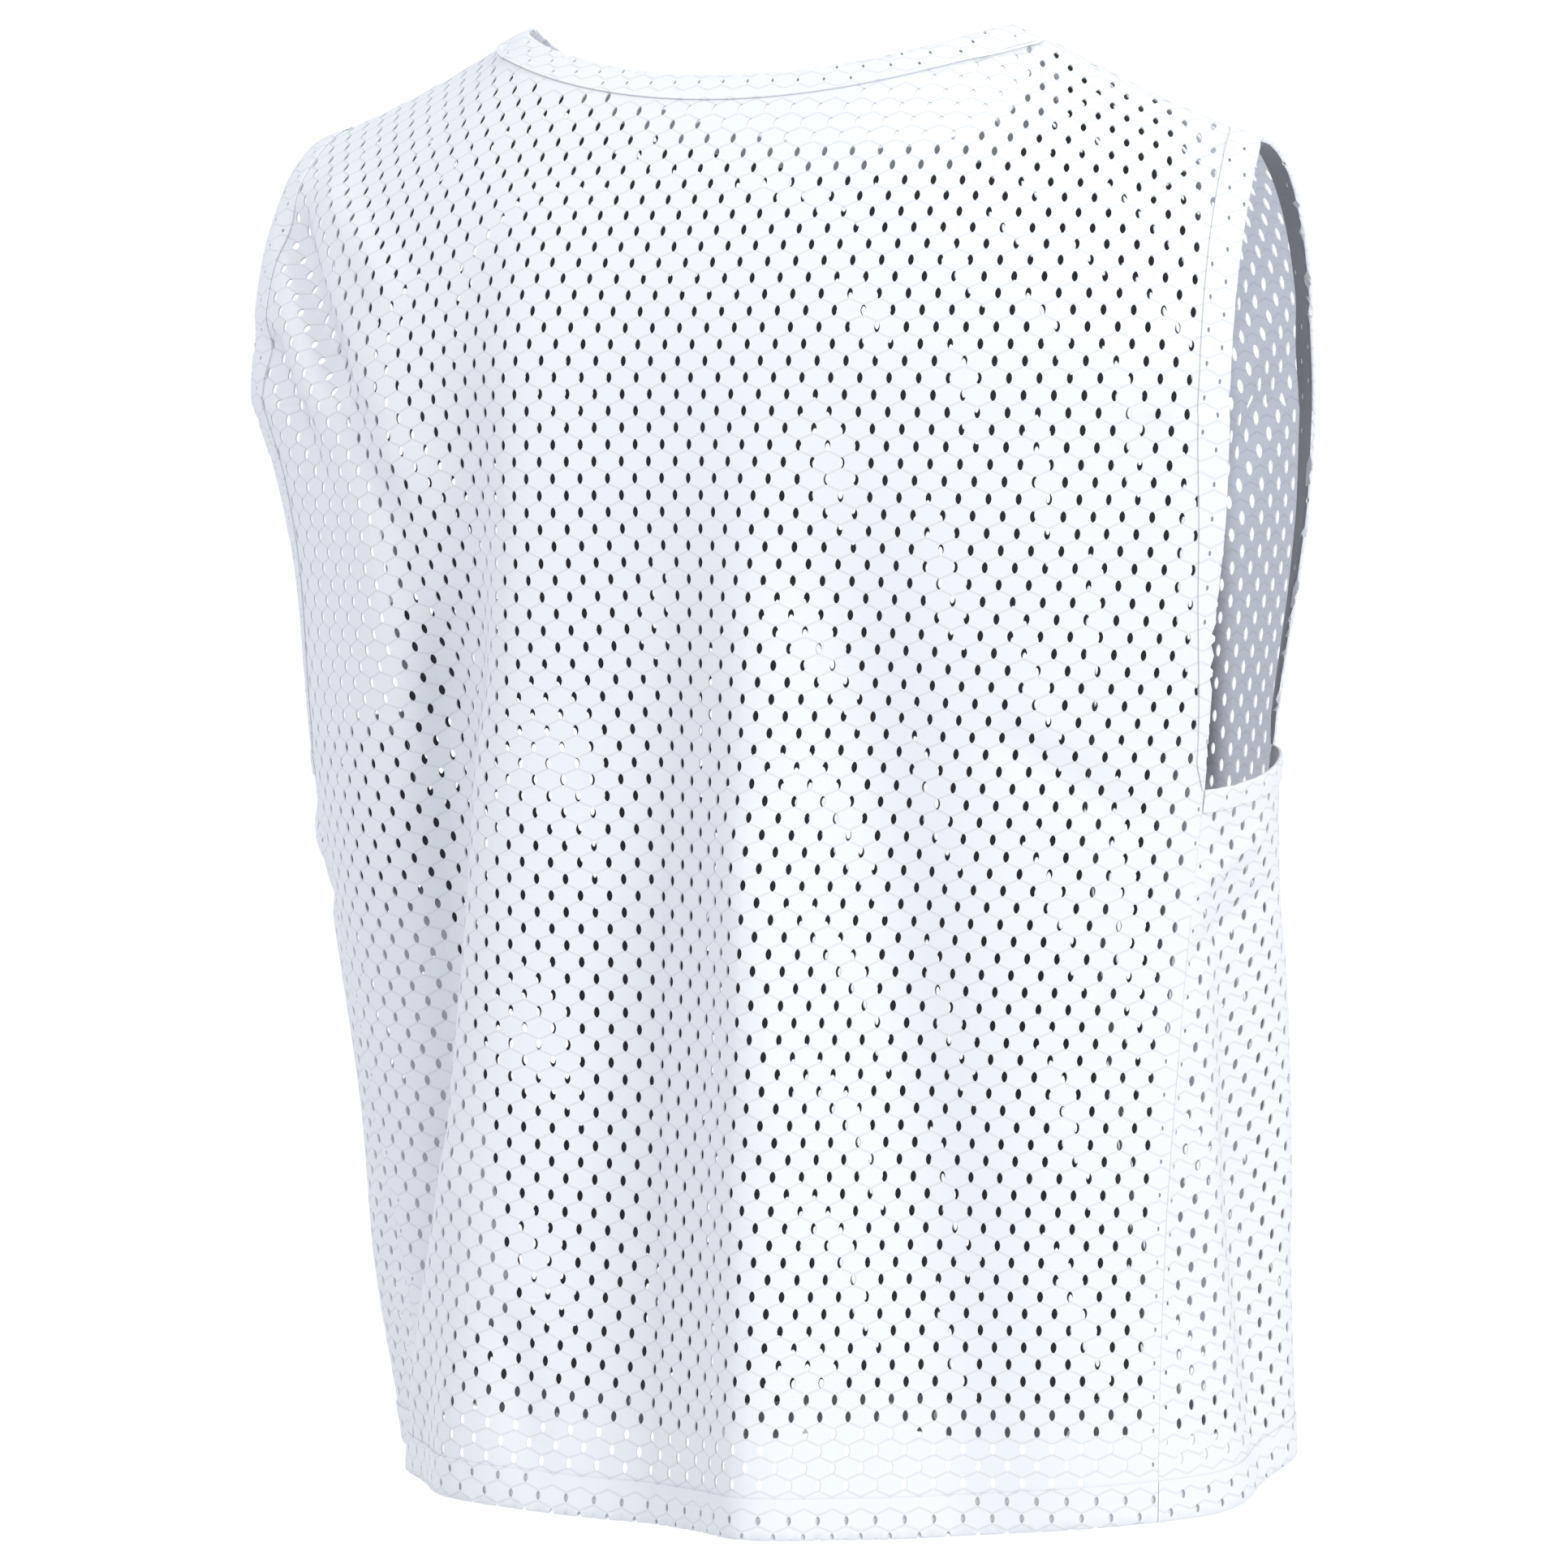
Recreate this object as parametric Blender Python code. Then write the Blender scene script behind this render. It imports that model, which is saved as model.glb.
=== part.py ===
"""Training bib: a sleeveless mesh bib in worn form, hollow, with no wearer inside.

Each sewn piece is one closed solid. Every piece is cut from the same surface, so edges meet.
+Z is up, the wearer faces -Y, and the origin is on the shoulder line, midway between the shoulders.
Sizes are in metres.
"""
import math

import bmesh
import bpy
import numpy as np

# Cloth and seams
WALL = 0.0015
HEM_WALL = 0.0028
SEAM_GAP = 0.0003
BOTTOM_HEM = 0.018
NECK_BAND = 0.014
ARM_BAND = 0.0145
ARM_BAND_LOW = 0.0050
ARM_BAND_END = 0.0010
ARM_BAND_RUN_OUT = 0.012
SIDE_BAND = 0.010

# Heights
HEM_Z = -0.6460
CORNER_Z = -0.3155
YOKE_Z = -0.150

# Body sections: height, half widths on the wearer's left and right, depths of the back and front
SECTION_COLUMNS = ("z", "left", "right", "back", "front")
SECTIONS = (
    (-0.6500, 0.1870, 0.2450, 0.140, 0.145),
    (-0.5580, 0.1990, 0.2385, 0.131, 0.140),
    (-0.4960, 0.2050, 0.2365, 0.126, 0.135),
    (-0.4120, 0.2180, 0.2365, 0.121, 0.130),
    (-0.3155, 0.2365, 0.2420, 0.119, 0.126),
    (-0.2300, 0.2465, 0.2550, 0.122, 0.124),
    (-0.1900, 0.2555, 0.2600, 0.123, 0.124),
    (YOKE_Z, 0.2715, 0.2620, 0.122, 0.124),
)

# Side seams and armhole edges: height, and angle from the middle of the back and of the front
SEAM_COLUMNS = ("z", "back_degrees", "front_degrees")
SEAMS = (
    (HEM_Z, 61.8, 61.0),
    (-0.4800, 65.6, 65.0),
    (CORNER_Z, 69.5, 69.0),
    (-0.2300, 67.0, 69.0),
    (YOKE_Z, 66.5, 69.0),
)

# Shoulder line and neck edge
NECK_POINT = (0.120, 0.010, 0.022)
SHOULDER_TIP = (0.2345, 0.000, -0.0285)
SHOULDER_SAG = 0.0030
NECK_BACK = (0.067, -0.0005)
NECK_FRONT = (-0.099, -0.032)
NECK_BACK_SLOPE = math.radians(45)
NECK_FRONT_SLOPE = math.radians(63)
NECK_BACK_ROUND = 1.8
NECK_FRONT_ROUND = 1.0
NECK_SHARE = 0.53
YOKE_TURN_BACK = math.radians(45)
YOKE_TURN_FRONT = math.radians(30)
SHOULDER_TURN_BACK = math.radians(66)
SHOULDER_TURN_FRONT = math.radians(90)
YOKE_DRAW_BACK = math.radians(55)
YOKE_DRAW_FRONT = math.radians(30)

# How the level lines rise from the back to the front and to the wearer's right
FRONT_RISE = 0.0135
HEM_FRONT_RISE = 0.0165
HEM_FRONT_DROP = 0.0340
HEM_FRONT_LEFT_DROP = 0.0160
HEM_SIDE_RISE = 0.0010
HEM_CORNER_RISE = 0.0045
HEM_LEFT_RISE = 0.0030

# Folds: side they lie on, widths toward and away from the middle, and a path of
# (height, distance from the middle toward the wearer's left, how far the cloth moves out)
FOLDS = (
    ("deep trough", "back", 0.017, 0.048, (
        (-0.130, 0.094, 0.000), (-0.210, 0.101, -0.007), (-0.283, 0.112, -0.015), (-0.412, 0.129, -0.020),
        (-0.496, 0.148, -0.021), (-0.558, 0.168, -0.018), (-0.660, 0.202, -0.010))),
    ("left ridge", "back", 0.040, 0.026, (
        (-0.040, 0.078, 0.000), (-0.090, 0.074, 0.005), (-0.150, 0.072, 0.009), (-0.280, 0.074, 0.012),
        (-0.450, 0.085, 0.014), (-0.600, 0.100, 0.015), (-0.660, 0.105, 0.013))),
    ("centre ridge", "back", 0.023, 0.036, (
        (-0.130, -0.046, 0.000), (-0.200, -0.046, 0.006), (-0.280, -0.046, 0.014), (-0.450, -0.048, 0.024),
        (-0.560, -0.052, 0.027), (-0.660, -0.056, 0.029))),
    ("centre trough", "back", 0.019, 0.044, (
        (-0.180, 0.004, 0.000), (-0.260, 0.006, -0.005), (-0.330, 0.010, -0.009), (-0.450, 0.014, -0.012),
        (-0.560, 0.012, -0.013), (-0.660, 0.006, -0.011))),
    ("right trough", "back", 0.028, 0.034, (
        (-0.160, -0.070, 0.000), (-0.260, -0.084, -0.007), (-0.430, -0.110, -0.011), (-0.660, -0.150, -0.008))),
    ("blade ridge", "back", 0.030, 0.030, (
        (-0.090, 0.160, 0.000), (-0.190, 0.152, 0.006), (-0.330, 0.172, 0.005), (-0.430, 0.196, 0.000))),
    ("armhole drag, long", "back", 0.011, 0.013, (
        (-0.050, 0.236, 0.000), (-0.085, 0.216, -0.005), (-0.140, 0.180, -0.006), (-0.215, 0.148, 0.000))),
    ("armhole drag, short", "back", 0.009, 0.011, (
        (-0.110, 0.244, 0.000), (-0.130, 0.232, -0.005), (-0.165, 0.212, -0.004), (-0.200, 0.196, 0.000))),
    ("right armhole drag", "back", 0.014, 0.012, (
        (-0.130, -0.236, 0.000), (-0.185, -0.214, -0.004), (-0.290, -0.176, 0.000))),
    ("right side trough", "back", 0.016, 0.018, (
        (-0.300, -0.262, 0.000), (-0.380, -0.268, -0.008), (-0.500, -0.282, -0.012), (-0.660, -0.306, -0.004))),
    ("right side ridge", "back", 0.018, 0.020, (
        (-0.330, -0.310, 0.000), (-0.420, -0.316, 0.006), (-0.550, -0.330, 0.008), (-0.660, -0.340, 0.004))),
    ("left side ridge", "back", 0.022, 0.022, (
        (-0.330, 0.262, 0.000), (-0.430, 0.258, 0.007), (-0.560, 0.250, 0.010), (-0.660, 0.246, 0.009))),
    ("left side trough", "front", 0.020, 0.022, (
        (-0.330, 0.272, 0.000), (-0.450, 0.266, -0.009), (-0.560, 0.258, -0.012), (-0.660, 0.250, -0.010))),
    ("front trough, left", "front", 0.030, 0.020, (
        (-0.170, 0.104, 0.000), (-0.290, 0.116, -0.014), (-0.430, 0.132, -0.022), (-0.660, 0.158, -0.018))),
    ("front ridge", "front", 0.032, 0.030, (
        (-0.230, 0.036, 0.000), (-0.360, 0.040, 0.009), (-0.500, 0.046, 0.015), (-0.660, 0.048, 0.017))),
    ("front trough, middle", "front", 0.026, 0.028, (
        (-0.250, -0.034, 0.000), (-0.400, -0.038, -0.008), (-0.660, -0.046, -0.010))),
    ("front trough, right", "front", 0.024, 0.032, (
        (-0.160, -0.112, 0.000), (-0.280, -0.124, -0.010), (-0.450, -0.146, -0.018), (-0.660, -0.176, -0.014))),
    ("front armhole drag, left", "front", 0.012, 0.012, (
        (-0.110, 0.240, 0.000), (-0.160, 0.214, -0.005), (-0.250, 0.172, 0.000))),
    ("front armhole drag, right", "front", 0.012, 0.012, (
        (-0.100, -0.240, 0.000), (-0.170, -0.206, -0.005), (-0.260, -0.166, 0.000))),
)

# Fine sampling of the surface that all the pieces are read from
FINE_COLUMNS = 121
FINE_BODY_ROWS = 100
FINE_YOKE_ROWS = 60
RING_POINTS = 1441

# Grids of the solids
LOW_ROWS = 23
MIDDLE_ROWS = 12
TOP_ROWS = 12
SIDE_COLUMNS = 11
HEM_LEVELS = 3

# Length of the yoke rows, from the chest to the top
YOKE_LENGTH = 0.17


def smooth(at, places, values):
    """Read a short table with rising places by a monotone cubic."""
    places = np.asarray(places, float)
    values = np.asarray(values, float)
    step = np.diff(places)
    slope = np.diff(values) / step
    lean = np.zeros(len(values))
    for i in range(1, len(values) - 1):
        if slope[i - 1] * slope[i] > 0:
            before = 2 * step[i] + step[i - 1]
            after = step[i] + 2 * step[i - 1]
            lean[i] = (before + after) / (before / slope[i - 1] + after / slope[i])
    lean[0] = slope[0]
    lean[-1] = slope[-1]
    at = np.clip(np.asarray(at, float), places[0], places[-1])
    i = np.clip(np.searchsorted(places, at) - 1, 0, len(step) - 1)
    f = (at - places[i]) / step[i]
    return ((2 * f**3 - 3 * f**2 + 1) * values[i] + (f**3 - 2 * f**2 + f) * step[i] * lean[i]
            + (3 * f**2 - 2 * f**3) * values[i + 1] + (f**3 - f**2) * step[i] * lean[i + 1])


def ease(value):
    """0 below 0, 1 above 1, and a smooth step between."""
    value = np.clip(value, 0.0, 1.0)
    return value * value * (3 - 2 * value)


def section_sizes(z):
    """Left and right half widths, and back and front depths, at a height."""
    heights = [row[0] for row in SECTIONS]
    return [smooth(z, heights, [row[k] for row in SECTIONS]) for k in range(1, 5)]


def ring(z):
    """The closed section at a height: distance along it from the centre back, and its points."""
    left, right, back, front = section_sizes(z)
    angle = np.linspace(-math.pi, math.pi, RING_POINTS)
    x = np.where(angle >= 0, left, right) * np.sin(angle)
    y = np.where(np.cos(angle) >= 0, back, front) * np.cos(angle)
    step = np.hypot(np.diff(x), np.diff(y))
    along = np.concatenate([[0.0], np.cumsum(step)])
    along = along - along[RING_POINTS // 2]
    return angle, along, x, y


def seam_angle(z, side):
    """Angle of the side seam or armhole edge from the middle of the back or front."""
    column = 1 if side == "back" else 2
    return math.radians(float(smooth(z, [row[0] for row in SEAMS], [row[column] for row in SEAMS])))


def level(z, x, y):
    """Height of a point of the row that is at z on the centre back."""
    left, right, back, front = section_sizes(z)
    to_front = ease(0.5 - y / 0.09)
    body = ease((YOKE_Z - z) / (YOKE_Z - CORNER_Z))
    low = np.clip((CORNER_Z - z) / (CORNER_Z - HEM_Z), 0.0, 1.05)
    depth = np.where(y >= 0, back, front)
    front_way = (0.5 - 0.5 * y / depth) ** 2
    side_way = -x / np.where(x >= 0, left, right)
    corner_way = ease((-x - 0.10) / 0.12)
    rise = HEM_FRONT_RISE * front_way + HEM_SIDE_RISE * side_way + HEM_CORNER_RISE * corner_way
    rise = rise + HEM_LEFT_RISE * ease((x - 0.02) / 0.10) * ease(y / 0.06)
    rise = rise - HEM_FRONT_LEFT_DROP * ease((x - 0.01) / 0.07) * ease((-y - 0.02) / 0.05)
    rise = rise - HEM_FRONT_DROP * np.clip(0.5 - 0.5 * y / depth, 0.0, 1.0) ** 6
    return z + FRONT_RISE * to_front * body + low * rise


def fold_height(side, across, z):
    """How far the folds of one side move the cloth out, at distances from its middle."""
    total = np.zeros(np.broadcast(across, z).shape)
    for name, lies_on, toward, away, path in FOLDS:
        if lies_on != side:
            continue
        path = sorted(path)
        heights = [p[0] for p in path]
        centre = smooth(z, heights, [p[1] for p in path])
        move = smooth(z, heights, [p[2] for p in path])
        off = across - centre
        outward = off * np.sign(centre) > 0
        width = np.where(outward, away, toward)
        total = total + move * np.exp(-(off / width) ** 2)
    return total


def top_edge(share, side):
    """Where the columns of the back or front end: round the neck band, then along the shoulder."""
    size = np.abs(share)
    turn = np.clip(size / NECK_SHARE, 0, 1) * math.pi / 2
    slope = (SHOULDER_TIP[2] - NECK_POINT[2]) / (SHOULDER_TIP[0] - NECK_POINT[0])
    start = (NECK_POINT[0] + NECK_BAND, NECK_POINT[1], NECK_POINT[2] + slope * NECK_BAND)
    y_mid, z_mid = band_middle(side)
    x = start[0] * np.sin(turn)
    y = start[1] + (y_mid - start[1]) * np.cos(turn)
    curve = NECK_BACK_ROUND if side == "back" else NECK_FRONT_ROUND
    z = start[2] + (z_mid - start[2]) * np.cos(turn) ** curve
    run = np.clip((size - NECK_SHARE) / (1 - NECK_SHARE), 0, 1)
    x = x + (SHOULDER_TIP[0] - start[0]) * run
    y = y + (SHOULDER_TIP[1] - start[1]) * run
    z = z + (SHOULDER_TIP[2] - start[2]) * run - SHOULDER_SAG * np.sin(math.pi * run)
    return np.stack([np.sign(share) * x, y, z], -1)


def band_middle(side):
    """Middle of the neck band's lower edge on the back or front."""
    if side == "back":
        return (NECK_BACK[0] + NECK_BAND * math.cos(NECK_BACK_SLOPE),
                NECK_BACK[1] - NECK_BAND * math.sin(NECK_BACK_SLOPE))
    return (NECK_FRONT[0] - NECK_BAND * math.cos(NECK_FRONT_SLOPE),
            NECK_FRONT[1] - NECK_BAND * math.sin(NECK_FRONT_SLOPE))


def unit(vectors):
    return vectors / np.maximum(np.linalg.norm(vectors, axis=-1, keepdims=True), 1e-12)


def grid_normals(points, outward):
    """Normals of a grid of points, turned to the side that outward gives."""
    down = np.gradient(points, axis=0)
    across = np.gradient(points, axis=1)
    normals = unit(np.cross(across, down))
    if np.mean(np.sum(normals * outward, -1)) < 0:
        normals = -normals
    return normals


def row_ends(z):
    """Distances along the section of the right front, right back, left back and left front edges."""
    angle, length, xs, ys = ring(z)
    rear = seam_angle(z, "back")
    fore = math.pi - seam_angle(z, "front")
    ends = np.interp([-fore, -rear, rear, fore], angle, length)
    return length[0], ends, length[-1]


def station(z, piece, share):
    """Distance along the section of a place on a piece: shares run toward the wearer's left or front."""
    start, ends, stop = row_ends(z)
    share = np.asarray(share, float)
    if piece == "back":
        return np.where(share >= 0, share * ends[2], -share * ends[1])
    if piece == "front":
        return np.where(share >= 0, stop - share * (stop - ends[3]), start - share * (ends[0] - start))
    if piece == "left":
        return ends[2] + share * (ends[3] - ends[2])
    return ends[1] + share * (ends[0] - ends[1])


def body_row(z, piece, shares):
    """Points and fold heights of one level row, with a column more beyond each end."""
    along = station(z, piece, shares)
    first = along[0] - np.sign(along[1] - along[0]) * 0.003
    last = along[-1] + np.sign(along[-1] - along[-2]) * 0.003
    along = np.concatenate([[first], along, [last]])
    angle, length, xs, ys = ring(z)
    x = np.interp(along, length, xs)
    y = np.interp(along, length, ys)
    half = np.where(along >= 0, length[-1], -length[0])
    from_front = np.sign(along) * half - along
    heights = np.full_like(x, z)
    folds = np.zeros_like(x)
    if piece != "front" or z <= CORNER_Z:
        folds = folds + fold_height("back", along, heights)
    if piece != "back" or z <= CORNER_Z:
        folds = folds + fold_height("front", from_front, heights)
    return np.stack([x, y, level(z, x, y)], -1), folds


def yoke_rows(side, shares, start):
    """Rows from the level of the chest up to the shoulders and the neck band."""
    end = top_edge(shares, side)
    neck = np.clip(np.abs(shares) / NECK_SHARE, 0, 1)
    turn_mid = YOKE_TURN_BACK if side == "back" else YOKE_TURN_FRONT
    turn_end = SHOULDER_TURN_BACK if side == "back" else SHOULDER_TURN_FRONT
    turn = turn_mid + (turn_end - turn_mid) * ease(neck)
    draw_mid = YOKE_DRAW_BACK if side == "back" else YOKE_DRAW_FRONT
    draw = draw_mid + (math.pi / 2 - draw_mid) * ease(neck)
    rows = []
    folds = []
    for f in np.linspace(0, 1, FINE_YOKE_ROWS + 1)[1:]:
        closing = (np.cos(turn * f) - np.cos(turn)) / (1 - np.cos(turn))
        rising = np.sin(turn * f) / np.sin(turn)
        level_turn = np.sqrt(np.maximum(1 - (rising * np.sin(draw)) ** 2, 0.0))
        drawn = np.clip((level_turn - np.cos(draw)) / (1 - np.cos(draw)), 0.0, 1.0)
        drawn = 1 - (1 - drawn) ** 1.6
        x = end[:, 0] + (start[:, 0] - end[:, 0]) * drawn
        y = end[:, 1] + (start[:, 1] - end[:, 1]) * closing
        z = start[:, 2] + (end[:, 2] - start[:, 2]) * rising
        points = np.stack([x, y, z], -1)
        before = 2 * points[0] - points[1]
        after = 2 * points[-1] - points[-2]
        rows.append(np.vstack([before, points, after]))
        height = fold_height(side, x, z) * ease((1 - f) / 0.35)
        folds.append(np.concatenate([height[:1], height, height[-1:]]))
    return rows, folds


def settle(points, folds, outward):
    """Move the grid out by its folds, and give it with its normals, without the extra columns."""
    flat = grid_normals(points, outward)
    moved = points + flat * folds[..., None]
    return moved[:, 1:-1], grid_normals(moved, outward)[:, 1:-1]


def body_heights():
    return np.linspace(HEM_Z, YOKE_Z, FINE_BODY_ROWS)


def make_panel(side):
    """The whole back or front as a fine grid, from the hem's edge up to the shoulders and neck band."""
    shares = np.linspace(-1, 1, FINE_COLUMNS)
    pairs = [body_row(z, side, shares) for z in body_heights()]
    rows, folds = yoke_rows(side, shares, pairs[-1][0][1:-1])
    points = np.array([pair[0] for pair in pairs] + rows)
    heights = np.array([pair[1] for pair in pairs] + folds)
    facing = 1.0 if side == "back" else -1.0
    return settle(points, heights, np.array([0.0, facing, 0.3]))


def make_side(piece):
    """A side panel as a fine grid, from the hem's edge up to the armhole."""
    shares = np.linspace(0, 1, 41)
    levels = np.linspace(HEM_Z, CORNER_Z, 81)
    pairs = [body_row(z, piece, shares) for z in levels]
    facing = 1.0 if piece == "left" else -1.0
    return settle(np.array([pair[0] for pair in pairs]), np.array([pair[1] for pair in pairs]),
                  np.array([facing, 0.0, 0.0]))


def share_shoulder(back, front):
    """Give the back and front the same points and normals along the shoulders."""
    shares = np.abs(np.linspace(-1, 1, FINE_COLUMNS)) >= NECK_SHARE - 1e-9
    both = unit(back[1][-1] + front[1][-1])
    back[1][-1][shares] = both[shares]
    front[1][-1][shares] = both[shares]


def read(grid, row, column):
    """Values of a fine grid at fractional rows and columns, both from 0 to 1."""
    high, wide = grid.shape[0] - 1, grid.shape[1] - 1
    row = np.clip(np.asarray(row, float), 0, 1) * high
    column = np.clip(np.asarray(column, float), 0, 1) * wide
    i = np.minimum(row.astype(int), high - 1)
    j = np.minimum(column.astype(int), wide - 1)
    a = (row - i)[..., None]
    b = (column - j)[..., None]
    return ((1 - a) * (1 - b) * grid[i, j] + (1 - a) * b * grid[i, j + 1]
            + a * (1 - b) * grid[i + 1, j] + a * b * grid[i + 1, j + 1])


def panel_row(z):
    """Row, from 0 to 1, of a height below the chest in a panel's fine grid."""
    body = (z - HEM_Z) / (YOKE_Z - HEM_Z) * (FINE_BODY_ROWS - 1)
    return body / (FINE_BODY_ROWS - 1 + FINE_YOKE_ROWS)


def share_at(grid, row, side, distance):
    """Share of a row at a distance in from its edge on the wearer's left (+1) or right (-1)."""
    shares = np.linspace(1, 0.4, 61)
    points = read(grid, np.full(61, row), 0.5 + 0.5 * side * shares)
    along = np.concatenate([[0.0], np.cumsum(np.linalg.norm(np.diff(points, axis=0), axis=1))])
    return float(np.interp(distance, along, shares))


def arm_band(row):
    """Width of the armhole band at a row: it runs out at the underarm."""
    corner = panel_row(CORNER_Z)
    low = panel_row(CORNER_Z + ARM_BAND_RUN_OUT)
    chest = panel_row(YOKE_Z)
    if row <= low:
        return ARM_BAND_END + (ARM_BAND_LOW - ARM_BAND_END) * (row - corner) / (low - corner)
    return ARM_BAND_LOW + (ARM_BAND - ARM_BAND_LOW) * float(ease((row - low) / (chest - low)))


def column_list(inner_steps, outer_steps):
    """Shares of a panel's columns: the neck's ends are always among them."""
    half = list(np.linspace(0, NECK_SHARE, inner_steps + 1))
    half += list(np.linspace(NECK_SHARE, 1, outer_steps + 1)[1:])
    return np.array([-s for s in half[:0:-1]] + half)


def row_list():
    """Rows of the panels: the underarm corner and the end of the band's run-out are among them."""
    low = np.linspace(panel_row(HEM_Z + BOTTOM_HEM + SEAM_GAP), panel_row(CORNER_Z), LOW_ROWS)
    run = [panel_row(CORNER_Z + ARM_BAND_RUN_OUT)]
    mid = np.linspace(run[0], panel_row(YOKE_Z), MIDDLE_ROWS)[1:]
    top = np.linspace(panel_row(YOKE_Z), 1, TOP_ROWS)[1:]
    return np.concatenate([low, run, mid, top])


def inset_columns(grid, row, shares, width):
    """Columns, from 0 to 1, of a row's shares when its ends are drawn in by a width."""
    ends = np.where(shares < 0, share_at(grid, row, -1, width), share_at(grid, row, 1, width))
    size = np.abs(shares)
    outer = NECK_SHARE + (size - NECK_SHARE) / (1 - NECK_SHARE) * (ends - NECK_SHARE)
    return 0.5 + 0.5 * np.sign(shares) * np.where(size > NECK_SHARE, outer, size)


def panel_grid(fine, shares):
    """Points and normals of a sewn back or front, inside its seams and bands."""
    points, normals = [], []
    corner = panel_row(CORNER_Z)
    rows = row_list()
    for row in rows:
        width = SEAM_GAP / 2 if row < corner - 1e-9 else arm_band(row) + SEAM_GAP
        if row > 1 - 1e-9:
            row = row - SEAM_GAP / 2 * (1 - panel_row(YOKE_Z)) / YOKE_LENGTH
        columns = inset_columns(fine[0], row, shares, width)
        points.append(read(fine[0], np.full_like(columns, row), columns))
        normals.append(unit(read(fine[1], np.full_like(columns, row), columns)))
    return np.array(points), np.array(normals)


def side_grid(fine, low, high):
    """Points and normals of a part of a side panel between two heights."""
    levels = np.linspace(panel_row(HEM_Z + BOTTOM_HEM + SEAM_GAP), panel_row(CORNER_Z), LOW_ROWS)
    levels = HEM_Z + levels / panel_row(CORNER_Z) * (CORNER_Z - HEM_Z)
    levels = np.concatenate([[low], levels[(levels > low + 0.004) & (levels < high - 0.004)], [high]])
    columns = np.linspace(0, 1, SIDE_COLUMNS)
    points, normals = [], []
    for z in levels:
        row = np.full_like(columns, (z - HEM_Z) / (CORNER_Z - HEM_Z))
        wide = float(np.sum(np.linalg.norm(np.diff(read(fine[0], row, columns), axis=0), axis=1)))
        inset = SEAM_GAP / 2 / wide
        drawn = inset + columns * (1 - 2 * inset)
        points.append(read(fine[0], row, drawn))
        normals.append(unit(read(fine[1], row, drawn)))
    return np.array(points), np.array(normals)


def arm_strip(back, front, side):
    """Points and normals of an armhole's band, from the back corner over the shoulder to the front."""
    rows = [row for row in row_list() if row >= panel_row(CORNER_Z) - 1e-9]
    points, normals = [], []
    stations = [(back, row) for row in rows] + [(front, row) for row in rows[-2::-1]]
    for fine, row in stations:
        inner = share_at(fine[0], row, side, arm_band(row))
        shares = np.linspace(inner, 1, 3)
        columns = 0.5 + 0.5 * shares * side
        at = row
        if abs(row - rows[0]) < 1e-9:
            at = row + panel_row(HEM_Z + SEAM_GAP)
        points.append(read(fine[0], np.full(3, at), columns))
        normals.append(unit(read(fine[1], np.full(3, at), columns)))
    return np.array(points), np.array(normals)


def neck_edge(turn):
    """Points of the neck's open edge, by the turn round the neck from the centre back."""
    middle = np.where(np.cos(turn) >= 0, NECK_BACK[0], NECK_FRONT[0])
    drop = np.where(np.cos(turn) >= 0, NECK_BACK[1], NECK_FRONT[1])
    part = np.abs(np.cos(turn))
    curve = np.where(np.cos(turn) >= 0, NECK_BACK_ROUND, NECK_FRONT_ROUND)
    return np.stack([NECK_POINT[0] * np.sin(turn), NECK_POINT[1] + (middle - NECK_POINT[1]) * part,
                     NECK_POINT[2] + (drop - NECK_POINT[2]) * part ** curve], -1)


def neck_strip(back, front):
    """Points and normals of the neck's band, a closed ring of three rows."""
    outer, outer_normals, turns = [], [], []
    for fine, shares, turned in ((back, BACK_SHARES, False), (front, FRONT_SHARES[::-1], True)):
        inside = shares[np.abs(shares) <= NECK_SHARE + 1e-9]
        if turned:
            inside = inside[1:-1]
        turn = inside / NECK_SHARE * math.pi / 2
        outer.append(read(fine[0], np.ones_like(inside), 0.5 + 0.5 * inside))
        outer_normals.append(unit(read(fine[1], np.ones_like(inside), 0.5 + 0.5 * inside)))
        turns.append(math.pi - turn if turned else turn)
    outer = np.vstack(outer)
    outer_normals = np.vstack(outer_normals)
    inner = neck_edge(np.concatenate(turns))
    across = inner - outer
    outer = outer + unit(across) * SEAM_GAP
    forward = np.roll(inner, -1, axis=0) - np.roll(inner, 1, axis=0)
    own = unit(np.cross(forward, across))
    own = own * np.sign(np.sum(own * outer_normals, -1))[:, None]
    rows = [outer + (inner - outer) * share for share in (0, 0.5, 1)]
    normals = [unit(outer_normals + (own - outer_normals) * share) for share in (0, 0.5, 1)]
    return np.array(rows), np.array(normals)


def hem_ring():
    """Points and normals of the bottom hem, a closed ring read from the same surface."""
    stations = [("back", share) for share in BACK_SHARES]
    stations += [("left", share) for share in np.linspace(0, 1, SIDE_COLUMNS)[1:-1]]
    stations += [("front", share) for share in FRONT_SHARES[::-1]]
    stations += [("right", share) for share in np.linspace(1, 0, SIDE_COLUMNS)[1:-1]]
    levels = np.linspace(HEM_Z, HEM_Z + BOTTOM_HEM, HEM_LEVELS)
    levels = np.concatenate([levels, [levels[-1] + 0.006]])
    points, heights = [], []
    for z in levels:
        along = np.array([float(station(z, piece, share)) for piece, share in stations])
        angle, length, xs, ys = ring(z)
        x = np.interp(along, length, xs)
        y = np.interp(along, length, ys)
        half = np.where(along >= 0, length[-1], -length[0])
        level_z = np.full_like(x, z)
        folds = fold_height("back", along, level_z)
        folds = folds + fold_height("front", np.sign(along) * half - along, level_z)
        points.append(np.stack([x, y, level(z, x, y)], -1))
        heights.append(folds)
    points = np.array(points)
    flat = ring_normals(points)
    moved = points + flat * np.array(heights)[..., None]
    return moved[:HEM_LEVELS], ring_normals(moved)[:HEM_LEVELS]


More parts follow.
